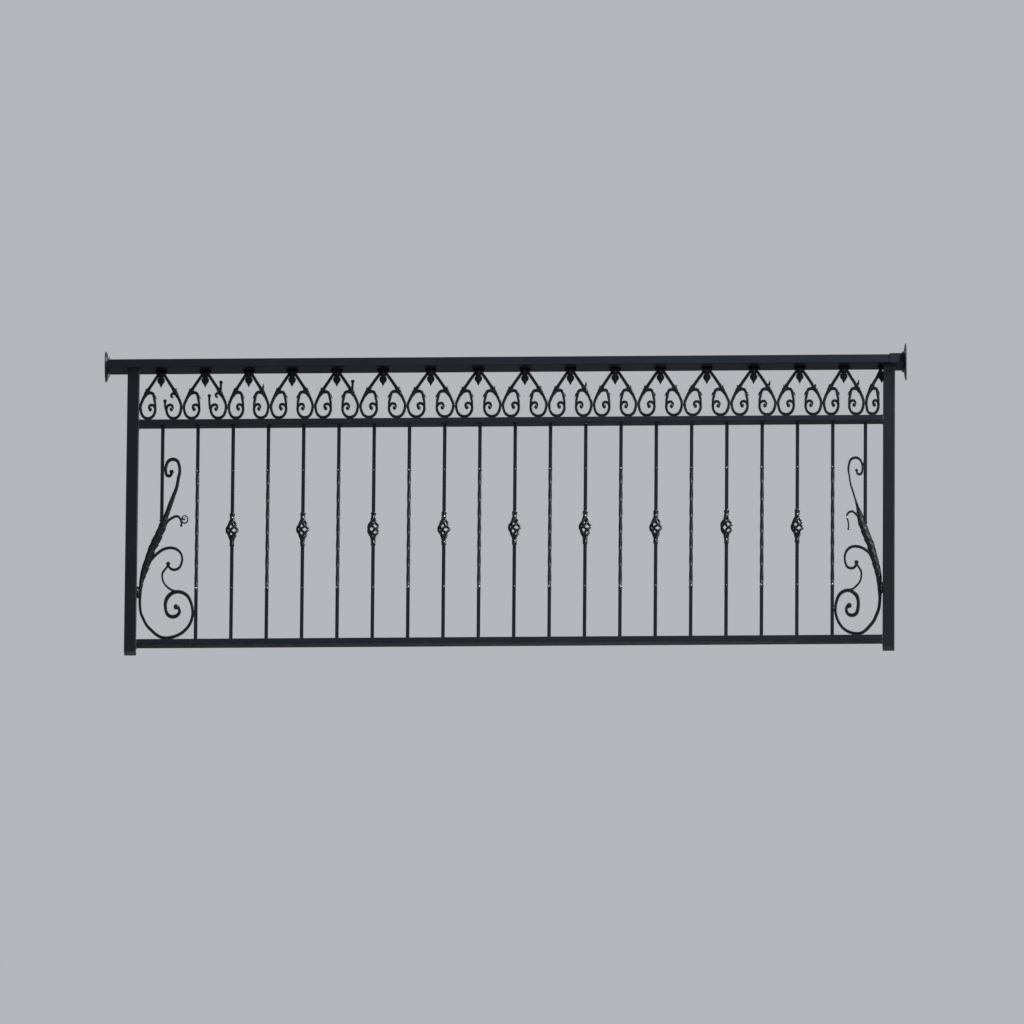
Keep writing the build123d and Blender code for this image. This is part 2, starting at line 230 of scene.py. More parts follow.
# Alkyd enamel brushed over mild steel gives the eye a blue-black satin skin: brush marks along the
# bar, a soft sheen that drifts from patch to patch, grey arrises where hands and rain have rubbed
# it, and a thin film of street dust on what faces up.
@dataclass(frozen=True)
class Enamel:
    """Alkyd enamel brushed over mild steel: a satin, slightly uneven black film."""

    name: str
    film: str = "#0e1217"
    film_worn: str = "#171b22"
    primer: str = "#4a4743"
    dust: str = "#8d8577"
    roughness: float = 0.42
    roughness_swing: float = 0.14
    dust_roughness: float = 0.45
    ior: float = 1.5
    specular: float = 0.14
    cloud_mm: float = 170.0
    brush_mm: float = 2.2
    brush_height: float = 0.05
    brush_stretch: tuple[float, float, float] = (1.0, 1.0, 1.0)
    peel_mm: float = 3.0
    peel_height: float = 0.06
    hammer_mm: float = 0.0
    hammer_height: float = 0.0
    wear: float = 0.35
    wear_mm: float = 9.0
    edge_mm: float = 1.2
    dust_cover: float = 0.34

    def material(self) -> bpy.types.Material:
        """Builds the film with its brush marks, rubbed edges and dust.

        Returns:
            The finished material.
        """
        material, tree, shader = new_material(self.name)
        place = object_place(tree)
        clouds = noise(tree, place, self.cloud_mm, 4.0, 0.6)
        stretched = add_node(
            tree, "ShaderNodeMapping", {"Scale": self.brush_stretch}, {"Vector": place}
        )
        brush = noise(tree, stretched.outputs["Vector"], self.brush_mm)
        film = blend(tree, clouds, self.film, self.film_worn)
        rubbed = blend(tree, self._rubbed_edges(tree, place), film, self.primer)
        settled = self._settled_dust(tree, clouds)
        tree.links.new(blend(tree, settled, rubbed, self.dust), shader.inputs["Base Color"])
        swing = self.roughness_swing / 2
        gloss = remap(
            tree, brush, (0.3, 0.7), (self.roughness - swing, self.roughness + swing)
        )
        matt = add_node(
            tree,
            "ShaderNodeMath",
            {1: self.dust_roughness},
            {0: settled, 2: gloss},
            operation="MULTIPLY_ADD",
            use_clamp=True,
        )
        tree.links.new(matt.outputs[0], shader.inputs["Roughness"])
        shader.inputs["IOR"].default_value = self.ior
        shader.inputs["Specular IOR Level"].default_value = self.specular
        tree.links.new(self._surface(tree, place, brush), shader.inputs["Normal"])
        return material

    def _rubbed_edges(self, tree: Tree, place: Socket) -> Socket:
        """Share of primer that shows where an arris is rubbed.

        Args:
            tree: Node tree of the material.
            place: Coordinates that the patches follow.

        Returns:
            A socket from 0, whole film, to 1, rubbed through.
        """
        rounded = add_node(tree, "ShaderNodeBevel", {"Radius": self.edge_mm * MM}, samples=4)
        true = add_node(tree, "ShaderNodeNewGeometry")
        facing = add_node(
            tree,
            "ShaderNodeVectorMath",
            links={0: rounded.outputs["Normal"], 1: true.outputs["Normal"]},
            operation="DOT_PRODUCT",
        )
        edge = remap(tree, facing.outputs["Value"], (0.995, 0.86), (0.0, 1.0))
        patches = noise(tree, place, self.wear_mm, 5.0, 0.7)
        broken = remap(tree, patches, (0.5, 0.68), (0.0, self.wear))
        return multiply(tree, edge, broken)

    def _settled_dust(self, tree: Tree, clouds: Socket) -> Socket:
        """Thin cover of street dust on what faces up.

        Args:
            tree: Node tree of the material.
            clouds: Slow noise that breaks the cover up.

        Returns:
            A socket with the share of dust.
        """
        normal = add_node(tree, "ShaderNodeNewGeometry").outputs["Normal"]
        parts = add_node(tree, "ShaderNodeSeparateXYZ", links={0: normal})
        upward = remap(tree, parts.outputs["Z"], (0.55, 1.0), (0.0, self.dust_cover))
        return multiply(tree, upward, clouds)

    def _surface(self, tree: Tree, place: Socket, brush: Socket) -> Socket:
        """Relief of the film: brush marks, orange peel and hammer dents.

        Args:
            tree: Node tree of the material.
            place: Coordinates that the relief follows.
            brush: Stretched noise of the brush marks.

        Returns:
            The bumped normal.
        """
        marks = relief(tree, brush, 0.35, self.brush_height)
        peel = noise(tree, place, self.peel_mm, 3.0)
        skin = relief(tree, peel, 0.6, self.peel_height, marks)
        if not self.hammer_mm:
            return skin
        dents = add_node(
            tree,
            "ShaderNodeTexVoronoi",
            {"Scale": per_metre(self.hammer_mm), "Smoothness": 0.6},
            {"Vector": place},
            feature="SMOOTH_F1",
        )
        return relief(tree, dents.outputs["Distance"], 0.7, self.hammer_height, skin)


# Arc weld left as laid and painted over gives the eye small glossy lumps that catch the light in
# points, with grey steel on a few of the highest ones.
@dataclass(frozen=True)
class WeldMetal:
    """Arc weld left as laid and painted over: glossy ripples, bare steel on the highest ones."""

    name: str = "arc_weld_under_enamel"
    paint: str = "#151a20"
    steel: str = "#b9bbbd"
    roughness: float = 0.3
    speck_mm: float = 6.0
    ripple_mm: float = 1.6
    ripple_height: float = 0.5
    bare_from: float = 0.66

    def material(self) -> bpy.types.Material:
        """Builds the painted bead with its bare specks.

        Returns:
            The finished material.
        """
        material, tree, shader = new_material(self.name)
        place = object_place(tree)
        specks = noise(tree, place, self.speck_mm)
        bare = remap(tree, specks, (self.bare_from, self.bare_from + 0.05), (0.0, 1.0))
        colour = blend(tree, bare, self.paint, self.steel)
        normal = relief(tree, noise(tree, place, self.ripple_mm), 0.8, self.ripple_height)
        tree.links.new(colour, shader.inputs["Base Color"])
        tree.links.new(bare, shader.inputs["Metallic"])
        tree.links.new(normal, shader.inputs["Normal"])
        shader.inputs["Roughness"].default_value = self.roughness
        return material


# Zinc plate gives the eye a bright grey metal with a faint cloudy bloom. The same bright metal
# in finer spots gives painted highlights where bars, hooks and welds glint.
@dataclass(frozen=True)
class BrightMetal:
    """Bright metal of the wall bolts, and of the spots that are painted highlights, with a cloudy
    bloom.
    """

    name: str
    metal: str
    bloom: str
    bloom_mm: float
    roughness: tuple[float, float] = (0.28, 0.55)

    def material(self) -> bpy.types.Material:
        """Builds the metal with its bloom.

        Returns:
            The finished material.
        """
        material, tree, shader = new_material(self.name)
        cloudy = noise(tree, object_place(tree), self.bloom_mm, 4.0)
        colour = blend(tree, cloudy, self.metal, self.bloom)
        rough = remap(tree, cloudy, (0.0, 1.0), self.roughness)
        tree.links.new(colour, shader.inputs["Base Color"])
        tree.links.new(rough, shader.inputs["Roughness"])
        shader.inputs["Metallic"].default_value = 1.0
        return material


class Finish(Enum):
    """The finishes of the railing, each built once."""

    # The rails' black is painted lighter than that of the posts and bars, with less specular:
    # painted sheen that stands in for the rail fronts' reflection of the sky.
    TUBE = Enamel(
        "satin_enamel_on_steel_tube_painted_sheen",
        film="#15191f",
        film_worn="#20252d",
        specular=0.07,
        brush_stretch=(0.06, 1.0, 1.0),
    )
    POST = Enamel("satin_enamel_on_steel_post", brush_stretch=(1.0, 1.0, 0.06))
    UPRIGHT = Enamel(
        "satin_enamel_on_steel_bar", roughness=0.34, specular=0.15, brush_stretch=(1.0, 1.0, 0.06)
    )
    FORGING = Enamel(
        "satin_enamel_on_hammered_forging",
        film="#0b0e12",
        film_worn="#14171c",
        roughness=0.34,
        specular=0.14,
        hammer_mm=7.0,
        hammer_height=0.5,
        wear=0.5,
    )
    # The leaves and crowns hang in the top rail's shadow, so their enamel is a darker, duller copy
    # of the forging enamel: painted shade.
    LEAF = Enamel(
        "dull_enamel_on_stamped_leaf_painted_shade",
        film="#0a0c10",
        film_worn="#101318",
        roughness=0.5,
        specular=0.05,
        wear=0.2,
    )
    WELD = WeldMetal()
    BOLT = BrightMetal("zinc_plated_steel_bolt", "#c3c5c6", "#8f9294", 4.0)
    # Bright metal spots that stand in for glints: painted highlights.
    SPATTER = BrightMetal("bare_metal_painted_highlight", "#c4c6c8", "#8f9295", 2.0)

    def material(self) -> bpy.types.Material:
        """The finish's material, made the first time that it is asked for."""
        known = bpy.data.materials.get(self.value.name)
        return known or self.value.material()


# Shapes


class Outline(Enum):
    """Cross-sections that forged lines are drawn with, one unit wide and deep."""

    BAR = "drawn square bar with nearly sharp arrises"
    FORGED = "hammered bar with soft arrises"
    ROD = "round rod"
    LEAF = "leaf with a raised midrib"

    def corners(self, count: int = 12) -> list[tuple[float, float]]:
        """Points of the section, across and outwards, each from -0.5 to 0.5.

        Args:
            count: Number of points on a round section.

        Returns:
            The points in order round the section.
        """
        if self in (Outline.BAR, Outline.FORGED):
            return self._eased(0.09 if self is Outline.BAR else 0.25)
        if self is Outline.LEAF:
            half = [(0.5, 0.0), (0.36, 0.2), (0.2, 0.26), (0.07, 0.36), (0.0, 0.5)]
            top = half + [(-x, y) for x, y in half[-2::-1]]
            return top + [(x, -y) for x, y in top[-2:0:-1]]
        angles = (2 * math.pi * i / count for i in range(count))
        return [(math.cos(a) / 2, math.sin(a) / 2) for a in angles]

    def _eased(self, ease: float) -> list[tuple[float, float]]:
        """Corners of a square section whose arrises have a radius of ease."""
        points = []
        for quarter in range(4):
            middle = math.radians(90 * quarter + 45)
            centre_x = math.copysign(0.5 - ease, math.cos(middle))
            centre_y = math.copysign(0.5 - ease, math.sin(middle))
            for turn in (0, 30, 60, 90):
                angle = math.radians(90 * quarter + turn)
                points.append(
                    (centre_x + ease * math.cos(angle), centre_y + ease * math.sin(angle))
                )
        return points


@dataclass(frozen=True)
class Station:
    """A place on a forged line, in millimetres: its position, heading and section."""

    x: float
    z: float
    heading: float
    width: float
    depth: float


@dataclass(frozen=True)
class Slice:
    """One cross-section of a forged line, in millimetres."""

    centre: Vector
    across: Vector
    outward: Vector
    width: float
    depth: float

    def ring(self, corners: Sequence[tuple[float, float]]) -> list[Vector]:
        """Corners of this slice in space.

        Args:
            corners: Unit section from Outline.

        Returns:
            One point for each corner.
        """
        return [
            self.centre + self.across * (u * self.width) + self.outward * (v * self.depth)
            for u, v in corners
        ]


def heading_vector(degrees: float) -> Vector:
    """Unit vector in the railing's plane, 0 along the railing and 90 straight up."""
    return Vector((math.cos(math.radians(degrees)), 0.0, math.sin(math.radians(degrees))))


def arc_places(
    start: Vector, end: Vector, heading: float, step: float
) -> list[tuple[Vector, float]]:
    """Walks along the arc that leaves start on a heading and reaches end.

    Args:
        start: First point of the arc.
        end: Last point of the arc.
        heading: Direction in degrees in which it leaves.
        step: Greatest distance between two places.

    Returns:
        Places after the start, with the heading at each.
    """
    chord = end - start
    bearing = math.degrees(math.atan2(chord.z, chord.x))
    turn = (bearing - heading + 180) % 360 - 180
    swing = math.radians(turn)
    length = chord.length * (swing / math.sin(swing) if abs(swing) > 1e-6 else 1.0)
    count = max(2, math.ceil(length / step))
    places = []
    for i in range(1, count + 1):
        share = i / count
        if abs(swing) > 1e-6:
            reach = chord.length * math.sin(share * swing) / math.sin(swing)
        else:
            reach = chord.length * share
        point = start + heading_vector(heading + turn * share) * reach
        places.append((point, heading + 2 * turn * share))
    return places


def flow(stations: Sequence[Station], step: float) -> list[Slice]:
    """Slices of a smooth forged line through stations, two tangent arcs to each pair.

    Args:
        stations: Places that the line passes through, in order.
        step: Greatest distance between two slices.

    Returns:
        The slices from the first station to the last.
    """
    first = stations[0]
    points = [(Vector((first.x, 0, first.z)), first.heading, first.width, first.depth)]
    for a, b in zip(stations, stations[1:]):
        start, end = Vector((a.x, 0, a.z)), Vector((b.x, 0, b.z))
        leaving, arriving = heading_vector(a.heading), heading_vector(b.heading)
        chord = end - start
        along = chord.dot(leaving + arriving)
        turn = 2 * (1 - leaving.dot(arriving))
        if turn > 1e-9:
            reach = (math.sqrt(along**2 + turn * chord.dot(chord)) - along) / turn
        else:
            reach = chord.dot(chord) / (2 * along)
        first_corner = start + leaving * reach
        second_corner = end - arriving * reach
        middle = (first_corner + second_corner) / 2
        walk = arc_places(start, middle, a.heading, step)
        walk += arc_places(middle, end, walk[-1][1], step)
        for i, (point, heading) in enumerate(walk):
            share = (i + 1) / len(walk)
            points.append(
                (
                    point,
                    heading,
                    a.width + (b.width - a.width) * share,
                    a.depth + (b.depth - a.depth) * share,
                )
            )
    return [
        Slice(point, heading_vector(heading + 90), STREET, width, depth)
        for point, heading, width, depth in points
    ]


def between(table: Sequence[tuple[float, float]], place: float) -> float:
    """Value of a table at a place, straight between its rows and level beyond them.

    Args:
        table: Places in rising order, each with its value.
        place: Where the value is wanted.

    Returns:
        The value.
    """
    if place <= table[0][0]:
        return table[0][1]
    for (low, first), (high, second) in zip(table, table[1:]):
        if place <= high:
            return first + (second - first) * (place - low) / (high - low)
    return table[-1][1]


def through(places: Sequence[tuple[float, float, float, float]]) -> list[Station]:
    """Stations at places of which only the position and the section are known.

    Args:
        places: Position along the railing, height, width and depth of each, in order.

    Returns:
        The stations, each heading along the line between its neighbours.
    """
    stations = []
    last = len(places) - 1
    for i, (x, z, width, depth) in enumerate(places):
        before, after = places[max(i - 1, 0)], places[min(i + 1, last)]
        heading = math.degrees(math.atan2(after[1] - before[1], after[0] - before[0]))
        stations.append(Station(x, z, heading, width, depth))
    return stations


def with_bulb(slices: Sequence[Slice], diameter: float) -> list[Slice]:
    """Ends a forged line in a round knob on its last slice.

    Args:
        slices: Slices of the line.
        diameter: Diameter of the knob.

    Returns:
        The line with the knob.
    """
    last = slices[-1]
    forward = last.across.cross(last.outward).normalized()
    if forward.dot(last.centre - slices[-2].centre) < 0:
        forward = -forward
    radius = diameter / 2
    kept = [s for s in slices if (s.centre - last.centre).length > radius * 0.8]
    neck = kept[-1].width / 2
    start = -math.sqrt(max(radius**2 - neck**2, 0.0))
    knob = []
    count = 9
    for i in range(count + 1):
        angle = math.acos(start / radius) * (1 - i / count)
        offset = radius * math.cos(angle)
        half = radius * math.sin(angle)
        size = max(2 * half, 0.05)
        knob.append(Slice(last.centre + forward * offset, last.across, last.outward, size, size))
    return kept + knob


class Shell:
    """Vertices and faces of one piece, gathered in millimetres."""

    def __init__(self) -> None:
        """Starts with nothing."""
        self.points: list[Vector] = []
        self.faces: list[tuple[int, ...]] = []

    def loft(self, rings: Sequence[Sequence[Vector]], loop: bool = False) -> None:
        """Skins rings of corners and closes both ends.

        Args:
            rings: Rings with as many corners each.
            loop: Whether the last ring joins the first instead of being closed.
        """
        base = len(self.points)
        size = len(rings[0])
        for ring in rings:
            self.points.extend(ring)
        pairs = len(rings) if loop else len(rings) - 1
        for i in range(pairs):
            lower = base + i * size
            upper = base + ((i + 1) % len(rings)) * size
            for j in range(size):
                k = (j + 1) % size
                self.faces.append((lower + j, lower + k, upper + k, upper + j))
        if not loop:
            last = base + (len(rings) - 1) * size
            self.faces.append(tuple(base + j for j in reversed(range(size))))
            self.faces.append(tuple(last + j for j in range(size)))

    def line(self, slices: Sequence[Slice], outline: Outline, count: int = 12) -> None:
        """Adds a forged line.

        Args:
            slices: Slices of the line.
            outline: Section that it is drawn with.
            count: Points of a round section.
        """
        corners = outline.corners(count)
        self.loft([s.ring(corners) for s in slices])

    def square_bar(self, x: float, low: float, high: float, width: float) -> None:
        """Adds a plain upright square bar in the railing's plane.

        Args:
            x: Place of its middle along the railing.
            low: Height of its lower end.
            high: Height of its upper end.
            width: Width of each side.
        """
        ends = [Slice(Vector((x, 0, z)), ACROSS, BACK, width, width) for z in (low, high)]
        self.line(ends, Outline.BAR)

    def lathe(
        self, profile: Sequence[tuple[float, float]], origin: Vector, axis: Vector, sides: int
    ) -> None:
        """Adds a turned form.

        Args:
            profile: Radius and height of each edge, from one end to the other.
            origin: Point on the axis at height 0.
            axis: Unit direction of the axis.
            sides: Number of sides.
        """
        across = axis.orthogonal().normalized()
        other = axis.cross(across)
        angles = [2 * math.pi * i / sides for i in range(sides)]
        spokes = [across * math.cos(a) + other * math.sin(a) for a in angles]
        self.loft(
            [
                [origin + axis * height + spoke * radius for spoke in spokes]
                for radius, height in profile
            ]
        )

    def piece(self, name: str, finish: Finish, smooth_angle: float = 40.0) -> bpy.types.Object:
        """Turns the shell into a piece of the railing.

        Args:
            name: Name of the piece.
            finish: Finish that it gets.
            smooth_angle: Edges sharper than this many degrees stay crisp.

        Returns:
            The piece, riding on the railing.
        """
        mesh = bpy.data.meshes.new(name)
        mesh.from_pydata([p * MM for p in self.points], [], self.faces)
        work = bmesh.new()
        work.from_mesh(mesh)
        bmesh.ops.remove_doubles(work, verts=work.verts, dist=0.002 * MM)
        bmesh.ops.recalc_face_normals(work, faces=work.faces)
        work.to_mesh(mesh)
        work.free()
        mesh.polygons.foreach_set("use_smooth", [True] * len(mesh.polygons))
        mesh.set_sharp_from_angle(angle=math.radians(smooth_angle))
        mesh.materials.append(finish.material())
        piece = bpy.data.objects.new(name, mesh)
        bpy.context.scene.collection.objects.link(piece)
        weighted = piece.modifiers.new("even_shading", "WEIGHTED_NORMAL")
        weighted.keep_sharp = True
        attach(piece, BODY)
        LOG.info("%s: %d faces", name, len(mesh.polygons))
        return piece


# Places taken from the frame


@dataclass(frozen=True)
class Span:
    """Box of a node of the frame, in millimetres."""

    low: Vector
    high: Vector

    @classmethod
    def of(cls, node: str) -> "Span":
        """Reads a node's box."""
        low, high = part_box(node)
        return cls(low / MM, high / MM)

    @property
    def centre(self) -> Vector:
        """Middle of the box."""
        return (self.low + self.high) / 2

    @property
    def size(self) -> Vector:
        """Length of each side."""
        return self.high - self.low


LEFT_POST = Span.of("left_post")
RIGHT_POST = Span.of("right_post")
TOP_RAIL = Span.of("top_rail")
MID_RAIL = Span.of("mid_rail")
BOTTOM_RAIL = Span.of("bottom_rail")


def nodes_named(prefix: str) -> list[str]:
    """Nodes of the frame whose names start with a prefix, in order."""
    return sorted(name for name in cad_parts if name.startswith(prefix))


@dataclass(frozen=True)
class Heart:
    """One heart scroll: its number, the place of its top and its width, in millimetres."""

    number: int
    apex: float
    width: float


@dataclass(frozen=True)
class HeartRow:
    """Row of hearts between the posts, each forged to its own width."""

    widths: tuple[float, ...] = (
        148, 153, 144, 151, 154, 161, 164, 160, 157, 153, 152, 156, 160, 158, 156, 144,
    )

    def hearts(self) -> list[Heart]:
        """Whole hearts, from the left post."""
        hearts = []
        start = LEFT_POST.high.x
        for number, width in enumerate(self.widths, 1):
            hearts.append(Heart(number, start + width / 2, width))
            start += width
        return hearts

    def rest(self) -> float:
        """Width that is left for the half heart at the right post."""
        return RIGHT_POST.low.x - LEFT_POST.high.x - sum(self.widths)


HEARTS = HeartRow()


# Sub-assemblies


@dataclass
class TubeFrame:
    """Rails, posts and slip sleeve, whose solids stay and are painted."""

    rails: tuple[str, ...] = ("top_rail", "mid_rail", "bottom_rail", "top_rail_sleeve")
    posts: tuple[str, ...] = ("left_post", "right_post")

    def build(self) -> None:
        """Paints the tubes."""
        # The rails take the lighter enamel with its painted sheen, the posts the plain one.
        for names, finish in ((self.rails, Finish.TUBE), (self.posts, Finish.POST)):
            for name in names:
                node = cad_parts[name]
                node.data.materials.clear()
                node.data.materials.append(finish.material())
                LOG.info("%s: painted", name)


@dataclass
class TwistedBar:
    """Square bar whose middle is twisted by seven quarter turns between two welded joints."""

    node: str
    width: float = 12.0
    twisted_width: float = 11.0
    twist_bottom: float = 228.0
    twist_top: float = 660.0
    twist: float = 630.0
    steps: int = 150
    run_in: float = 0.012
    shoulder: float = 9.0

    def angle(self, share: float) -> float:
        """Turn of the section in degrees at a share of the twisted length, eased at both ends."""
        eased = share - self.run_in * math.sin(2 * math.pi * share)
        return self.twist * eased

    def build(self) -> bpy.types.Object:
        """Makes the bar from plain ends and a twisted middle.

        Returns:
            The bar.
        """
        span = Span.of(self.node)
        x = span.centre.x
        shell = Shell()
        shell.square_bar(x, span.low.z, self.twist_bottom, self.width)
        shell.square_bar(x, self.twist_top, span.high.z, self.width)
        length = self.twist_top - self.twist_bottom
        twisted = []
        for i in range(self.steps + 1):
            share = i / self.steps
            turn = math.radians(self.angle(share))
            inset = min(share, 1 - share) * length / self.shoulder
            width = self.width - (self.width - self.twisted_width) * min(inset, 1.0)
            centre = Vector((x, 0, self.twist_bottom + share * length))
            turned = Vector((math.cos(turn), math.sin(turn), 0))
            square_to = Vector((-math.sin(turn), math.cos(turn), 0))
            twisted.append(Slice(centre, turned, square_to, width, width))
        shell.line(twisted, Outline.FORGED)
        piece = shell.piece(f"{self.node}_forged", Finish.UPRIGHT)
        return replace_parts(piece, self.node)


@dataclass
class BasketBar:
    """Square bar with a basket of four twisted rods, tight at both ends, between two collars."""

    node: str
    start: float
    width: float = 12.0
    basket_centre: float = 447.0
    basket_length: float = 102.0
    basket_diameter: float = 46.5
    rods: int = 4
    rod: float = 8.8
    neck: float = 4.4
    power: float = 3.3
    twist: float = 360.0
    steps: int = 60
    top_collar: float = 18.5
    bottom_collar: float = 16.5
    collar_height: float = 10.0
    collar_sides: int = 24
    stub_depth: float = 0.6
    rod_overlap: float = 0.04

    def build(self) -> bpy.types.Object:
        """Makes the bar, its collars and its basket.

        Returns:
            The bar.
        """
        span = Span.of(self.node)
        x = span.centre.x
        shell = Shell()
        half = self.basket_length / 2
        for end, side, wide in (
            (span.low.z, -1, self.bottom_collar),
            (span.high.z, 1, self.top_collar),
        ):
            seat = self.basket_centre + side * (half + self.collar_height)
            inner = seat - side * self.collar_height * self.stub_depth
            shell.square_bar(x, min(end, inner), max(end, inner), self.width)
            self._collar(shell, x, seat - side * self.collar_height / 2, side, wide)
        for i in range(self.rods):
            self._rod(shell, x, self.start + i * 360 / self.rods)
        piece = shell.piece(f"{self.node}_forged", Finish.UPRIGHT)
        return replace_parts(piece, self.node)

    def _collar(self, shell: Shell, x: float, height: float, side: int, wide: float) -> None:
        """Adds a rounded collar with a short tapered neck towards the basket."""
        radius, tall = wide / 2, self.collar_height
        profile = [
            (radius * 0.6, tall * 0.66),
            (radius * 0.78, tall * 0.5),
            (radius * 0.95, tall * 0.36),
            (radius, tall * 0.12),
            (radius, -tall * 0.12),
            (radius * 0.95, -tall * 0.36),
            (radius * 0.78, -tall * 0.5),
            (6.6, -tall * 0.75),
            (6.4, -tall * 1.1),
            (5.0, -tall * 1.5),
        ]
        shell.lathe(profile, Vector((x, 0, height)), UP * side, self.collar_sides)

    def _rod(self, shell: Shell, x: float, start_angle: float) -> None:
        """Adds one rod, bellied out and turned about the bar as it climbs."""
        belly = (self.basket_diameter - self.rod) / 2 - self.neck
        overlap = self.rod_overlap
        centres = []
        for i in range(self.steps + 1):
            share = -overlap + (1 + 2 * overlap) * i / self.steps
            inside = min(max(share, 0.0), 1.0)
            radius = self.neck + belly * max(math.sin(math.pi * inside), 0.0) ** self.power
            turn = math.radians(start_angle + self.twist * share)
            height = self.basket_centre + self.basket_length * (share - 0.5)
            centres.append(
                (Vector((x + radius * math.cos(turn), radius * math.sin(turn), height)), turn)
            )
        slices = []
        for i, (centre, turn) in enumerate(centres):
            before = centres[max(i - 1, 0)][0]
            after = centres[min(i + 1, len(centres) - 1)][0]
            along = (after - before).normalized()
            outward = Vector((math.cos(turn), math.sin(turn), 0))
            across = along.cross(outward).normalized()
            outward = across.cross(along).normalized()
            slices.append(Slice(centre, across, outward, self.rod, self.rod))
        shell.line(slices, Outline.ROD, 10)


@dataclass
class ShortBar:
    """Plain bar that stands on the stem of an end scroll."""

    node: str
    width: float = 12.0
    foot: float = 16.0

    def build(self) -> bpy.types.Object:
        """Makes the bar, whose foot runs into the stem.

        Returns:
            The bar.
        """
        span = Span.of(self.node)
        shell = Shell()
        shell.square_bar(span.centre.x, span.low.z + self.foot / 2, span.high.z, self.width)
        piece = shell.piece(f"{self.node}_forged", Finish.UPRIGHT)
        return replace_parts(piece, self.node)


class Bud(Enum):
    """What grows from the outside of a heart's leg, where the row isn't all alike."""

    WORN = "no bud left"
    SMALL = "small pointed leaf"
    TALL = "tall bud with a knob"


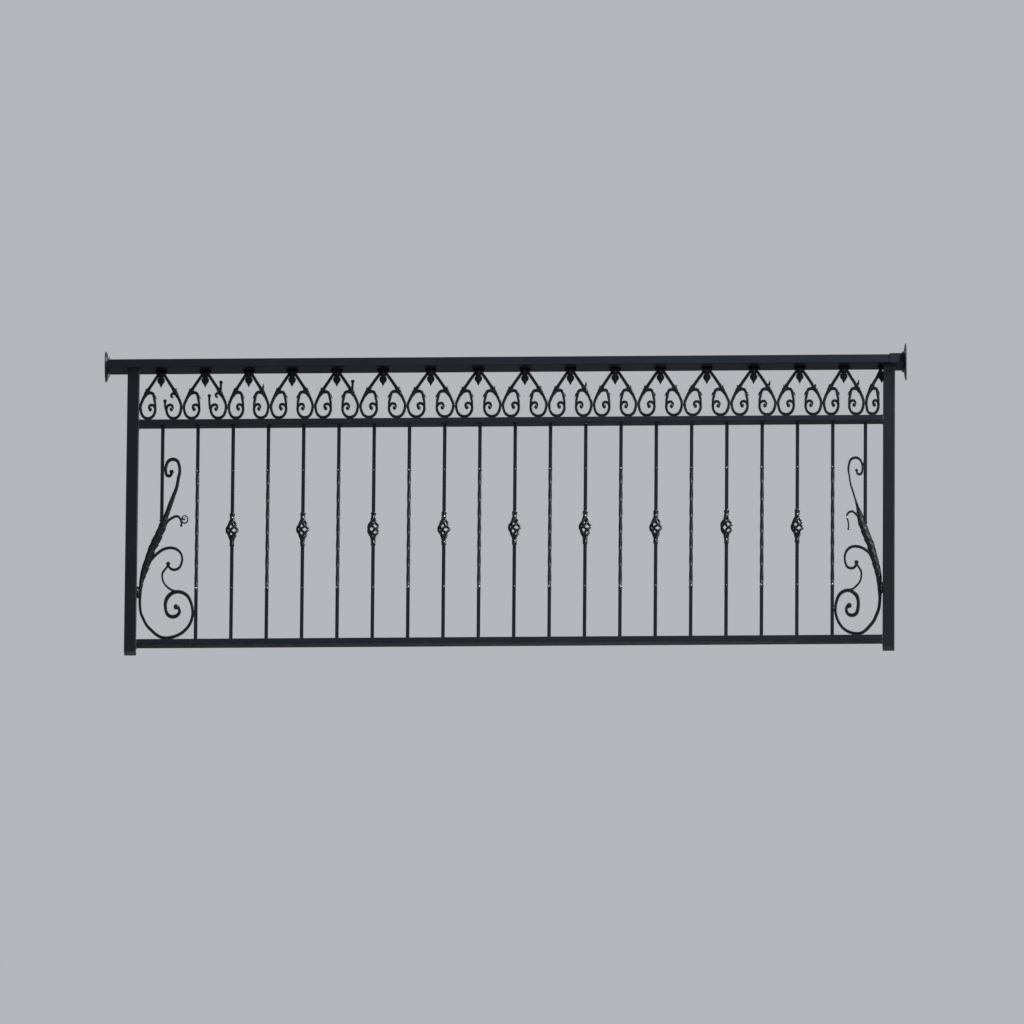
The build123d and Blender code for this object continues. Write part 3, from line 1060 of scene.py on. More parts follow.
@dataclass
class HeartFrieze:
    """Row of heart scrolls between the top and mid rails, each leg in a small leaf sheath."""

    node: str = "frieze_scrolls"
    drawn_half: float = 78.0
    drawn_height: float = 185.0
    band: float = 9.2
    depth: float = 8.6
    bulb: float = 12.5
    foot: float = 6.0
    loop_at: float = 46.0
    joint_at: float = 52.0
    clearance: float = 0.2
    step: float = 4.4
    fine_step: float = 2.6
    small_buds: tuple[int, ...] = (3, 10, 14, 16)
    tall_buds: tuple[int, ...] = (2, 5)
    stubs: tuple[tuple[int, float], ...] = ((1, 74.0), (2, 92.0))

    def build(self) -> bpy.types.Object:
        """Makes every heart and the half heart at the right post.

        Returns:
            The frieze.
        """
        shell = Shell()
        buds = {number: Bud.SMALL for number in self.small_buds}
        buds.update({number: Bud.TALL for number in self.tall_buds})
        stubs = dict(self.stubs)
        for heart in HEARTS.hearts():
            number, half = heart.number, heart.width / 2
            self._leg(shell, heart.apex, -1, half, Bud.WORN, 0.0)
            self._leg(
                shell, heart.apex, 1, half, buds.get(number, Bud.WORN), stubs.get(number, 0.0)
            )
        self._leg(shell, RIGHT_POST.low.x, -1, HEARTS.rest(), Bud.WORN, 0.0)
        piece = shell.piece("heart_frieze_forged", Finish.FORGING)
        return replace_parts(piece, self.node)

    def _leg(
        self, shell: Shell, apex: float, side: int, half: float, bud: Bud, stub: float
    ) -> None:
        """Adds one leg of a heart with its loop, hook, leaf and bud.

        Args:
            shell: Shell that it goes into.
            apex: Place of the heart's top along the railing.
            side: -1 for the left leg and 1 for the right one.
            half: Half of the heart's width.
            bud: Bud on its outside.
            stub: Height of the stub that a broken tendril left, or 0 where it is whole.
        """
        stretch_x = half / self.drawn_half
        stretch_z = (TOP_RAIL.low.z - MID_RAIL.high.z) / self.drawn_height
        band = self.band

        def at(x: float, z: float, heading: float, width: float, deep: float = 1.0) -> Station:
            """Station on this leg, mirrored for the left one."""
            return Station(
                apex + side * x * stretch_x,
                MID_RAIL.high.z + z * stretch_z,
                heading if side > 0 else 180 - heading,
                width,
                self.depth * deep,
            )

        def draw(stations: list[Station], outline: Outline, step: float, bulb: float = 0.0) -> None:
            """Adds a line of this leg, with an optional knob at its end."""
            slices = flow(stations, step)
            shell.line(with_bulb(slices, bulb) if bulb else slices, outline)

        outer = (half - band / 2 - self.clearance) / stretch_x
        seat = (self.foot + band / 2) / stretch_z
        leg = [
            at(1, 184, -57, 10.0, 0.9),
            at(38, 127, -58, 10.2),
            at(54, 101, -61, 11.0, 1.1),
            at(64, 82, -68, 10.0),
            at(outer, self.joint_at, -90, band),
            at(self.loop_at, seat, -180, band),
            at(20, 43, -270, band),
            at(34, 60, -360, 8.8),
            at(42.5, 51, -450, 8.2),
            at(38, 43.5, -530, 7.4),
        ]
        draw(leg, Outline.FORGED, self.step, self.bulb)
        sheath = [
            at(33, 135, -57, 5.0, 1.1),
            at(45, 116, -58, 13.5, 1.35),
            at(53, 102, -61, 16.0, 1.4),
            at(58, 92, -64, 12.5, 1.3),
            at(64, 80, -68, 6.0, 1.05),
        ]
        draw(sheath, Outline.LEAF, self.step / 2)
        self._tendril(at, draw, stub)
        self._bud(at, draw, bud)

    def _tendril(self, at: Callable[..., Station], draw: Callable[..., None], stub: float) -> None:
        """Adds the leaf tendril that leaves the sheath towards the middle of the heart.

        Args:
            at: Maker of a station on this leg.
            draw: Adds a line of this leg.
            stub: Height of the stub on the loop if it ends in a curl, or 0 if it runs down there.
        """
        if stub:
            curl = [
                at(55, 98, 168, 8.0),
                at(43, 101, 190, 8.6, 1.1),
                at(36, 93, 268, 7.2, 0.9),
                at(41, 88, 350, 5.6, 0.8),
            ]
            draw(curl, Outline.FORGED, self.fine_step, 7.6)
            stump = [
                at(17.5, 44, 95, 8.4),
                at(15, (44 + stub) / 2, 93, 8.0),
                at(14.5, stub, 88, 8.0),
            ]
            draw(stump, Outline.FORGED, self.step, 12.0)
            return
        tendril = [
            at(56, 98, 165, 8.0),
            at(37, 104, 180, 10.2, 1.1),
            at(24, 84, 263, 9.6, 1.1),
            at(20.5, 60, 270, 8.4),
            at(20, 43, 270, 7.8),
        ]
        draw(tendril, Outline.FORGED, self.step)
        crest = [
            at(47, 101, 150, 6.0, 1.1),
            at(38, 108, 178, 5.4, 0.8),
            at(31, 104, 215, 0.8, 0.3),
        ]
        draw(crest, Outline.LEAF, self.fine_step)
        tip = [
            at(27, 97, -100, 6.5, 0.9),
            at(20, 89, -112, 6.8, 0.7),
            at(14.5, 79, -108, 0.8, 0.3),
        ]
        draw(tip, Outline.LEAF, self.fine_step)

    def _bud(self, at: Callable[..., Station], draw: Callable[..., None], bud: Bud) -> None:
        """Adds the bud on the outside of the leg.

        Args:
            at: Maker of a station on this leg.
            draw: Adds a line of this leg.
            bud: Kind of bud.
        """
        if bud is Bud.TALL:
            stalk = [
                at(53, 102, 96, 9.5),
                at(54, 121, 90, 8.0, 0.9),
                at(54.5, 141, 89, 8.0, 0.9),
            ]
            draw(stalk, Outline.FORGED, self.fine_step, 12.5)
            return
        reach = 1.0 if bud is Bud.SMALL else 0.45
        leaf = [
            at(50, 106, 78, 8.0, 1.0),
            at(53, 108 + 15 * reach, 80, 7.6, 0.8),
            at(55, 108 + 29 * reach, 76, 0.8, 0.3),
        ]
        draw(leaf, Outline.LEAF, self.fine_step)


@dataclass
class LeafPendants:
    """Pointed leaf below a fluted crown, under the top rail in each heart."""

    node: str = "leaf_pendants"
    length: float = 65.5
    thickness: float = 6.0
    clearance: float = 0.3
    crown_drop: float = 36.0
    crown_depth: float = 14.0
    crown_back: float = 4.2
    crown_levels: int = 20
    crown_sides: int = 32
    flute: float = 0.2
    crown_half: tuple[tuple[float, float], ...] = (
        (0.0, 19.0), (3.0, 20.0), (8.0, 19.5), (13.0, 16.5), (19.0, 12.5), (26.0, 9.0), (36.0, 7.5),
    )
    step: float = 1.5

    def build(self) -> bpy.types.Object:
        """Makes every leaf and the half leaf at the right post.

        Returns:
            The row of leaves.
        """
        shell = Shell()
        for heart in HEARTS.hearts():
            self._blades(shell, heart.apex, (-1, 1))
            self._crown(shell, heart.apex, 1.0)
        edge = RIGHT_POST.low.x
        self._blades(shell, edge - 5.0, (-1,))
        self._crown(shell, edge - 9.0, 0.45)
        # The leaves take the darker enamel, painted shade of the top rail's shadow.
        piece = shell.piece("leaf_pendants_forged", Finish.LEAF)
        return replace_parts(piece, self.node)

    def _crown(self, shell: Shell, x: float, stretch: float) -> None:
        """Adds the crown that holds both legs, with flutes that run down into the leaf.

        Args:
            shell: Shell that it goes into.
            x: Place of its middle along the railing.
            stretch: Share of the full width that it has.
        """
        front = Span.of(self.node).centre.y
        top = TOP_RAIL.low.z - self.clearance
        rings = []
        for i in range(self.crown_levels + 1):
            share = i / self.crown_levels
            drop = share * self.crown_drop
            half = between(self.crown_half, drop) * stretch
            deep = self.crown_depth + (self.thickness - self.crown_depth) * share
            middle = front + self.crown_back * (1 - share)
            ring = []
            for k in range(self.crown_sides):
                angle = 2 * math.pi * k / self.crown_sides
                u, v = math.cos(angle), math.sin(angle)
                flute = 1 - self.flute + self.flute * math.cos(3 * math.pi * abs(u))
                ring.append(Vector((x + u * half, middle + v * deep / 2 * flute, top - drop)))
            rings.append(ring)
        shell.loft(rings)

    def _blades(self, shell: Shell, x: float, sides: Iterable[int]) -> None:
        """Adds the blades of one leaf.

        Args:
            shell: Shell that it goes into.
            x: Place of the leaf along the railing.
            sides: Sides that carry a side blade.
        """
        top = TOP_RAIL.low.z - self.clearance
        front = Vector((0, Span.of(self.node).centre.y, 0))

        def at(out: float, down: float, heading: float, width: float, deep: float) -> Station:
            """Station of a blade, measured in millimetres from the crown's top."""
            return Station(x + out, top - down, heading, width, deep * self.thickness)

        blades = [
            flow(
                [
                    at(0, 22, -90, 12.0, 1.0),
                    at(0, 33, -90, 17.0, 1.2),
                    at(0, 43, -90, 19.0, 1.3),
                    at(0, 51, -90, 14.5, 1.1),
                    at(0, 58, -90, 7.6, 0.8),
                    at(0, self.length, -90, 0.6, 0.3),
                ],
                self.step,
            )
        ]
        for side in sides:
            lean = -90 + 30 * side
            blades.append(
                flow(
                    [
                        at(side * 1.5, 24, lean, 9.0, 0.9),
                        at(side * 6.2, 35, lean + 14 * side, 12.0, 1.2),
                        at(side * 7.2, 44, -90 - 6 * side, 10.0, 1.0),
                        at(side * 4.6, 53, -90 - 22 * side, 0.8, 0.3),
                    ],
                    self.step,
                )
            )
        for blade in blades:
            shell.line(
                [Slice(s.centre + front, s.across, s.outward, s.width, s.depth) for s in blade],
                Outline.LEAF,
            )


@dataclass
class EndScroll:
    """Tall S-scroll beside a post: a leafy stem, a side curl with its link, and a hook.

    The centre line and the widths of the stem are drawn from its foot to its top curl.
    """

    node: str
    post: Span
    side: int
    stem_widths: tuple[tuple[float, float], ...]
    curl_band: float
    hook: tuple[tuple[float, float, float, float], ...]
    hook_bulb: float
    drop: float
    has_ring: bool
    drawn_width: float = 198.0
    drawn_height: float = 780.0
    band: float = 9.2
    depth: float = 12.0
    bulb: float = 17.0
    curl_width: float = 48.0
    bar_half: float = 6.0
    pad: float = 6.0
    foot_at: float = 102.0
    clearance: float = 0.2
    step: float = 3.0
    lobe_mm: float = 31.0
    leaf_foot: float = 142.0
    leaf_top: float = 560.0
    leaf_step: float = 1.5
    leaf_sides: int = 32
    ring_place: tuple[float, float] = (162.0, 441.0)
    ring_radii: tuple[float, float] = (10.5, 13.5)
    ring_thick: float = 4.6
    ring_depth: float = 8.0
    ring_steps: int = 36
    stem_line: tuple[tuple[float, float], ...] = (
        (56.0, 34.6), (37.3, 55.0), (22.9, 83.0), (14.9, 105.0), (11.3, 146.0), (13.0, 183.0),
        (17.0, 220.0), (26.7, 258.0), (38.4, 295.0), (49.8, 332.0), (66.0, 367.0), (73.0, 384.0),
        (87.0, 419.0), (98.0, 454.0), (103.5, 471.0), (112.0, 497.0), (121.9, 526.0),
        (132.8, 558.0), (138.5, 592.0),
    )

    def __post_init__(self) -> None:
        """Works out where the drawing lands between the post and the bars."""
        span = Span.of(self.node)
        far = span.high.x if self.side > 0 else span.low.x
        self.short_bar = "left_short_bar" if self.side > 0 else "right_short_bar"
        short = Span.of(self.short_bar)
        self.inner = self.post.high.x if self.side > 0 else self.post.low.x
        self.width = abs(far - self.inner) + self.clearance
        self.stretch_x = self.width / self.drawn_width
        self.stretch_z = (MID_RAIL.low.z - BOTTOM_RAIL.high.z) / self.drawn_height
        bar_face = abs(short.centre.x - self.inner) + self.bar_half
        self.curl = bar_face + self.clearance + self.curl_band / 2

    def _place(self, out: float, z: float, heading: float, width: float, deep: float) -> Station:
        """Station at a real distance from the post and a drawn height."""
        return Station(
            self.inner + self.side * out,
            BOTTOM_RAIL.high.z + z * self.stretch_z,
            heading if self.side > 0 else 180 - heading,
            width,
            self.depth * deep,
        )

    def at(
        self, x: float, z: float, heading: float, width: float = 0.0, deep: float = 1.0
    ) -> Station:
        """Station at drawn coordinates."""
        return self._place(x * self.stretch_x, z, heading, width or self.band, deep)

    def on_curl(self, share: float, z: float, heading: float, width: float) -> Station:
        """Station on the top curl, which keeps its size."""
        return self._place(self.curl + share * self.curl_width, z - self.drop, heading, width, 1.0)

    def _low(self, x: float, z: float, heading: float, width: float, deep: float = 1.0) -> Station:
        """Station of the side curl, the link or the foot curl, which hang lower on one side."""
        return self.at(x, z - self.drop, heading, width, deep)

    def _stem_stations(self, low: float, high: float, widest: float) -> list[Station]:
        """Stations of the stem between two drawn heights, from the lower one.

        Args:
            low: Drawn height of the first one.
            high: Drawn height of the last one.
            widest: Greatest width, where the leaf covers the bar.

        Returns:
            The stations.
        """
        places = []
        for x, z in self.stem_line:
            if low <= z <= high:
                spot = self.at(x, z, 0)
                width = min(between(self.stem_widths, z), widest)
                places.append((spot.x, spot.z, width, self.depth))
        return through(places)

    def build(self) -> bpy.types.Object:
        """Makes the scroll with its leaf.

        Returns:
            The scroll.
        """
        shell = Shell()
        self._stem(shell)
        self._side_curl(shell)
        self._hook(shell)
        self._leaf(shell)
        piece = shell.piece(f"{self.node}_forged", Finish.FORGING)
        if self.has_ring:
            self._ring()
        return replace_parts(piece, self.node)

    def _stem(self, shell: Shell) -> None:
        """Adds the bar of the stem, from its middle to the top curl and to the foot curl."""
        band = self.curl_band
        upper = self._stem_stations(418, 600, 16.0)
        upper += [
            self.on_curl(1, 617, 90, band),
            self.on_curl(0.5, 661, 180, band),
            self.on_curl(0, 624, 270, band * 0.96),
            self.on_curl(0.23, 600, 360, band * 0.92),
            self.on_curl(0.42, 615, 450, band * 0.84),
        ]
        shell.line(with_bulb(flow(upper, self.step), band * 1.45), Outline.FORGED)
        seat = (self.pad + self.band / 2) / self.stretch_z
        bar_touch = self.width - self.clearance - self.band / 2
        lower = [
            Station(s.x, s.z, s.heading + 180, s.width, s.depth)
            for s in reversed(self._stem_stations(30, 419, 10.5))
        ]
        lower += [
            self._place(self.foot_at * self.stretch_x, seat, 0, self.band, 1.0),
            self._place(bar_touch, 100, 90, self.band, 1.0),
            self._low(140, 178, 180, 11.0),
            self._low(111, 164, 229, 13.0),
            self._low(99, 131, 270, 11.4),
            self._low(125, 87, 360, 11.6),
            self._low(148, 108, 450, 10.0),
            self._low(136, 123, 545, 8.4),
        ]
        shell.line(with_bulb(flow(lower, self.step), self.bulb), Outline.FORGED)

    def _side_curl(self, shell: Shell) -> None:
        """Adds the curl that leaves the stem half way up, and its link to the foot curl."""
        curl = [
            self.at(27, 252, 72, 9.4),
            self.at(55, 303, 50, 9.0),
            self._low(114, 338, 0, 8.0),
            self._low(155, 298, -90, 7.4),
            self._low(128, 258, -180, 7.4),
            self._low(107, 280, -270, 7.6),
        ]
        shell.line(with_bulb(flow(curl, self.step), 14.0), Outline.FORGED)
        link = [
            self._low(105, 272, -120, 6.4, 0.8),
            self._low(87, 238, -90, 6.8, 0.8),
            self._low(99, 202, -50, 5.6, 0.8),
            self._low(131, 181, -10, 6.2, 0.8),
        ]
        shell.line(flow(link, self.step), Outline.FORGED)

    def _hook(self, shell: Shell) -> None:
        """Adds the hook that leaves the leaf towards the bars."""
        stations = [
            self.at(x, z, heading, width, 0.85) for x, z, heading, width in self.hook
        ]
        slices = flow(stations, self.step)
        shell.line(with_bulb(slices, self.hook_bulb), Outline.FORGED)

    def _leaf(self, shell: Shell) -> None:
        """Adds the leaf on the stem, with lobes on its open edge and flutes from its midrib."""
        wide = [z for z, width in self.stem_widths if width > self.band + 1]
        top = max(z for z in wide if z < self.leaf_top)
        places = self._stem_stations(self.leaf_foot, top, 40.0)
        spine = flow(places, self.leaf_step)
        rings = []
        count = self.leaf_sides
        travelled = 0.0
        for i, s in enumerate(spine):
            travelled += (s.centre - spine[max(i - 1, 0)].centre).length
            phase = (travelled / self.lobe_mm) % 1.0
            share = i / (len(spine) - 1)
            swell = math.sin(math.pi * min(max(share, 0.0), 1.0)) ** 0.4
            lobe = 1.0 + swell * (0.20 * phase**1.6 - 0.11)
            calm = 1.0 + swell * 0.04 * math.sin(2 * math.pi * phase)
            deep = self.depth * (0.8 + 0.55 * swell)
            ring = []
            for k in range(count):
                angle = 2 * math.pi * k / count
                u, v = math.cos(angle), math.sin(angle)
                open_side = u * self.side < 0
                reach = s.width / 2 * (lobe if open_side else calm)
                flute = math.cos(2 * math.pi * (travelled / self.lobe_mm - 1.1 * abs(u)))
                rise = 1 + 0.22 * swell * flute * abs(u) * (1.6 - abs(u))
                crest = 1.0 + 0.2 * max(0.0, 1 - abs(u) / 0.2)
                ring.append(
                    s.centre
                    + s.across * (u * reach)
                    + s.outward * (v * deep / 2 * rise * crest)
                )
            rings.append(ring)
        shell.loft(rings)

    def _ring(self) -> bpy.types.Object:
        """Makes the small ring beside the hook.

        Returns:
            The ring.
        """
        centre = self.at(*self.ring_place, 0)
        middle = Vector((centre.x, 0, centre.z))
        corners = Outline.ROD.corners()
        radius, tall = self.ring_radii
        rings = []
        for i in range(self.ring_steps):
            out = heading_vector(360 * i / self.ring_steps)
            place = middle + Vector((out.x * radius, 0, out.z * tall))
            rings.append(Slice(place, out, STREET, self.ring_thick, self.ring_depth).ring(corners))
        shell = Shell()
        shell.loft(rings, loop=True)
        tongue = [
            Station(middle.x - radius, middle.z + 1, 0, 5.6, 6.0),
            Station(middle.x + 2, middle.z, -6, 4.6, 5.0),
        ]
        shell.line(flow(tongue, self.step), Outline.FORGED)
        return shell.piece(f"{self.node}_ring", Finish.FORGING)


LEFT_STEM = (
    (30.0, 9.2), (105.0, 9.4), (146.0, 9.6), (165.0, 10.0), (183.0, 11.3), (202.0, 14.0),
    (220.0, 16.5), (239.0, 20.0), (258.0, 25.0), (295.0, 26.0), (332.0, 26.5), (367.0, 31.0),
    (385.0, 27.5), (419.0, 28.0), (440.0, 25.8), (454.0, 17.5), (471.0, 15.7), (497.0, 15.5),
    (526.0, 13.0), (558.0, 11.0), (617.0, 10.4),
)
RIGHT_STEM = (
    (30.0, 10.0), (77.0, 11.0), (146.0, 12.0), (171.0, 14.5), (208.0, 19.0), (227.0, 21.5),
    (245.0, 23.0), (264.0, 24.5), (282.0, 26.0), (320.0, 26.0), (347.0, 27.0), (381.0, 27.5),
    (416.0, 27.5), (434.0, 25.0), (451.0, 19.0), (468.0, 11.0), (480.0, 6.6), (500.0, 5.8),
    (617.0, 5.8),
)
LEFT_HOOK = (
    (92.0, 418.0, 58.0, 8.4), (114.0, 444.0, 32.0, 7.6), (134.0, 453.0, 0.0, 7.2),
    (149.0, 436.0, -75.0, 6.6), (150.0, 419.0, -110.0, 6.0),
)
RIGHT_HOOK = (
    (94.0, 424.0, 55.0, 7.0), (109.0, 444.0, 45.0, 6.6), (127.0, 455.0, 0.0, 6.2),
    (146.5, 438.0, -90.0, 5.6), (141.0, 415.0, -100.0, 5.2), (140.5, 391.0, -85.0, 5.0),
)


def end_scrolls() -> tuple[EndScroll, EndScroll]:
    """The two end scrolls, which were forged alike but not to the same widths."""
    left = EndScroll(
        "left_end_scroll", LEFT_POST, 1, LEFT_STEM, 10.4, LEFT_HOOK, 8.5, 0.0, has_ring=True
    )
    right = EndScroll(
        "right_end_scroll", RIGHT_POST, -1, RIGHT_STEM, 7.0, RIGHT_HOOK, 7.5, 10.0, has_ring=False
    )
    return left, right


@dataclass
class WallPlate:
    """Forged round plate that holds an end of the top rail, with two hex bolts."""

    node: str
    bolt_finish: Finish
    bolt_spacing: float = 60.0
    rim: float = 4.0
    boss: float = 84.0
    sides: int = 72

    def build(self) -> bpy.types.Object:
        """Makes the plate and its bolts.

        Returns:
            The plate.
        """
        span = Span.of(self.node)
        inward = 1 if span.centre.x < MID_RAIL.centre.x else -1
        wall = span.low.x if inward > 0 else span.high.x
        origin = Vector((wall, 0, span.centre.z))
        axis = Vector((inward, 0, 0))
        radius, thick, boss = span.size.z / 2, span.size.x, self.boss / 2
        profile = [
            (radius - 0.6, 0.0),
            (radius, 0.8),
            (radius, self.rim - 1.4),
            (radius - 0.7, self.rim - 0.4),
            (radius - 2.0, self.rim),
            ((radius + boss) / 2, (self.rim + thick) / 2 + 0.5),
            (boss + 2.0, thick - 0.5),
            (boss - 1.0, thick),
            (0.5, thick),
        ]
        plate = Shell()
        plate.lathe(profile, origin, axis, self.sides)
        piece = plate.piece(f"{self.node}_forged", Finish.FORGING)
        bolts = Shell()
        for side in (-1, 1):
            seat = origin + axis * thick + Vector((0, 0, side * self.bolt_spacing / 2))
            self._bolt(bolts, seat, axis)
        bolts.piece(f"{self.node}_bolts", self.bolt_finish, 25.0)
        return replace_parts(piece, self.node)

    def _bolt(self, shell: Shell, seat: Vector, axis: Vector) -> None:
        """Adds a washer and a hex head with a chamfered crown."""
        washer = [(8.0, 0.0), (8.0, 1.3), (7.7, 1.6), (0.5, 1.6)]
        head = [(7.5, 1.5), (7.5, 5.7), (7.0, 6.5), (6.2, 7.0), (0.5, 7.0)]
        shell.lathe(washer, seat, axis, 32)
        shell.lathe(head, seat, axis, 6)


@dataclass(frozen=True)
class Spot:
    """Painted highlight on a bar, a bright metal spot where it glints, placed in millimetres from
    the bar's middle.
    """

    seed: int
    out: float
    forward: float
    height: float
    share: float
    sway: float = 0.0


# Heights where the bars glint, at the weld joints and beside the basket collars: painted
# highlights.
BAR_HIGHLIGHT_SPOTS = {
    "twisted_bar": (
        Spot(0, 0.0, -6.4, 234.0, 0.85, sway=2.0),
        Spot(1, -1.5, -6.4, 661.0, 0.7),
    ),
    "basket_bar": (
        Spot(2, 1.0, -8.0, 488.0, 0.9),
        Spot(3, 1.6, -7.4, 398.0, 0.7),
        Spot(4, 1.2, -6.0, 234.0, 0.55),
        Spot(5, 0.6, -6.0, 661.0, 0.55),
    ),
}


@dataclass
class Welds:
    """Beads of weld wherever a piece meets its neighbour, and bright metal spots that are painted
    highlights where light glints.
    """

    bead: float = 3.4
    joint_bead: float = 2.6
    post_bead: float = 4.2
    sunk: float = 0.8
    lump: float = 0.22
    bead_steps: int = 40
    bead_sides: int = 8
    bar_half: float = 6.2
    joint_half: float = 5.7
    spot: Vector = field(default_factory=lambda: Vector((5.0, 3.6, 6.5)))
    heart_joint: Vector = field(default_factory=lambda: Vector((5, 9, 13)))
    heart_foot: Vector = field(default_factory=lambda: Vector((14, 9, 9)))
    # Hearts whose feet get a bright spot, a painted highlight.
    bright_hearts: tuple[int, ...] = (9, 15, 16)

    def around(
        self, shell: Shell, centre: Vector, half_x: float, half_y: float, size: float, seed: float
    ) -> None:
        """Adds a lumpy bead round a rectangular foot that stands on a level face.

        Args:
            shell: Shell that it goes into.
            centre: Middle of the foot.
            half_x: Half of the foot's width along the railing.
            half_y: Half of its depth.
            size: Width of the bead.
            seed: Number that shifts the lumps from one bead to the next.
        """
        corners = Outline.ROD.corners(self.bead_sides)
        count = self.bead_steps
        path = []
        for i in range(count):
            angle = 2 * math.pi * i / count
            c, s = math.cos(angle), math.sin(angle)
            scale = 1 / max(abs(c), abs(s))
            path.append(Vector((c * scale * half_x, s * scale * half_y, 0)))
        rings = []
        for i, point in enumerate(path):
            along = (path[(i + 1) % count] - path[i - 1]).normalized()
            ripple = math.sin(2.3 * i + seed) + 0.6 * math.sin(5.1 * i + 2 * seed)
            thick = size * (1 + self.lump * ripple)
            rings.append(Slice(centre + point, along.cross(UP), UP, thick, thick).ring(corners))
        shell.loft(rings, loop=True)

    def tack(self, shell: Shell, centre: Vector, size: Vector, seed: float) -> None:
        """Adds a short blob of weld.

        Args:
            shell: Shell that it goes into.
            centre: Middle of the blob.
            size: Length of each side.
            seed: Number that shifts its lumps.
        """
        rings = []
        levels, sides = 8, 12
        for i in range(levels + 1):
            tilt = math.pi * i / levels
            height = size.z * math.cos(tilt) * 0.5
            ring = []
            for k in range(sides):
                turn = 2 * math.pi * k / sides
                lump = 1 + 0.12 * math.sin(3 * turn + seed) * math.sin(2 * tilt + seed)
                flat = max(math.sin(tilt), 0.02) * lump / 2
                x, y = size.x * flat * math.cos(turn), size.y * flat * math.sin(turn)
                ring.append(centre + Vector((x, y, height)))
            rings.append(ring)
        shell.loft(rings)

    def build(self) -> None:
        """Makes the beads of the bars, the posts, the frieze and the end scrolls."""
        # Bright metal spots: painted highlights where light glints.
        bright = Shell()
        self._bars(bright)
        self._posts(bright)
        self._frieze(bright)
        self._scrolls(bright)
        bright.piece("painted_highlight_spots", Finish.SPATTER)

    def _bars(self, bright: Shell) -> None:
        """Beads round both ends of each bar, and round the joints of its middle length."""
        shell = Shell()
        for seed, node in enumerate(nodes_named("twisted_bar")):
            x = Span.of(node).centre.x
            for z in (TwistedBar.twist_bottom, TwistedBar.twist_top):
                joint = Vector((x, 0, z))
                half = self.joint_half
                self.around(shell, joint, half, half, self.joint_bead, seed + z)
        # Painted highlights: bright spots at the heights where the bars glint.
        for kind, spots in BAR_HIGHLIGHT_SPOTS.items():
            for number, node in enumerate(nodes_named(kind)):
                x = Span.of(node).centre.x
                for spot in spots:
                    out = x + spot.out + spot.sway * math.sin(2.1 * number)
                    place = Vector((out, spot.forward, spot.height))
                    self.tack(bright, place, self.spot * spot.share, number + spot.seed)
        foot_z, head_z = BOTTOM_RAIL.high.z + self.sunk, MID_RAIL.low.z - self.sunk
        for seed, node in enumerate(nodes_named("twisted_bar") + nodes_named("basket_bar")):
            x = Span.of(node).centre.x
            for z in (foot_z, head_z):
                end = Vector((x, 0, z))
                self.around(shell, end, self.bar_half, self.bar_half, self.bead, seed + z)
            # Painted highlight: a bright spot at each bar's foot.
            foot = Vector((x + 1.5 * math.sin(1.7 * seed), -7.2, BOTTOM_RAIL.high.z + 2.5))
            self.tack(bright, foot, self.spot * 0.6, seed + 6)
        for seed, node in enumerate(("left_short_bar", "right_short_bar")):
            head = Vector((Span.of(node).centre.x, 0, head_z))
            self.around(shell, head, self.bar_half, self.bar_half, self.bead, seed)
        shell.piece("bar_welds", Finish.WELD)

    def _posts(self, bright: Shell) -> None:
        """Upright beads where the rails meet the posts, and flat ones under the top rail."""
        shell = Shell()
        upright = Matrix.Rotation(math.radians(90), 4, "Y")
        for seed, rail in enumerate((MID_RAIL, BOTTOM_RAIL)):
            for x, side in ((LEFT_POST.high.x, 1), (RIGHT_POST.low.x, -1)):
                ring = Shell()
                half_z, half_y = rail.size.z / 2, rail.size.y / 2 - 2
                self.around(ring, Vector(), half_z, half_y, self.post_bead, seed + x)
                base = Vector((x + side * self.sunk, 0, rail.centre.z))
                offset = len(shell.points)
                shell.points += [base + upright @ p for p in ring.points]
                shell.faces += [tuple(i + offset for i in face) for face in ring.faces]
        for seed, post in enumerate((LEFT_POST, RIGHT_POST)):
            top = Vector((post.centre.x, 0, post.high.z - self.sunk))
            half_x, half_y = post.size.x / 2, post.size.y / 2
            self.around(shell, top, half_x, half_y, self.post_bead, 7.0 + seed)
        # Painted highlight: a bright spot at the left post's lower corner.
        corner = Vector((LEFT_POST.high.x + 3, BOTTOM_RAIL.low.y + 1, BOTTOM_RAIL.high.z))
        self.tack(bright, corner, self.spot * 0.9, 3.0)
        shell.piece("post_welds", Finish.WELD)

    def _frieze(self, bright: Shell) -> None:
        """Feet under the loops, and tacks between neighbouring hearts."""
        shell = Shell()
        hearts = HEARTS.hearts()
        joint_z = MID_RAIL.high.z + HeartFrieze.joint_at
        foot_z = MID_RAIL.high.z + HeartFrieze.foot / 2
        loop = HeartFrieze.loop_at / HeartFrieze.drawn_half
        for heart in hearts:
            joint = Vector((heart.apex + heart.width / 2, 0, joint_z))
            seed = float(heart.number)
            self.tack(shell, joint, self.heart_joint, seed)
            for side in (-1, 1):
                foot = Vector((heart.apex + side * heart.width / 2 * loop, 0, foot_z))
                self.tack(shell, foot, self.heart_foot, seed + side)
        self.tack(shell, Vector((LEFT_POST.high.x, 0, joint_z)), self.heart_joint, 0.0)
        half_foot = RIGHT_POST.low.x - HEARTS.rest() * loop
        self.tack(shell, Vector((half_foot, 0, foot_z)), self.heart_foot, 0.7)
        # Painted highlights: bright spots at the feet of a few hearts.
        for number in self.bright_hearts:
            heart = hearts[number - 1]
            spot = Vector((heart.apex + heart.width / 2, -5, foot_z - 1))
            self.tack(bright, spot, self.spot * 0.9, float(number))
        shell.piece("frieze_welds", Finish.WELD)

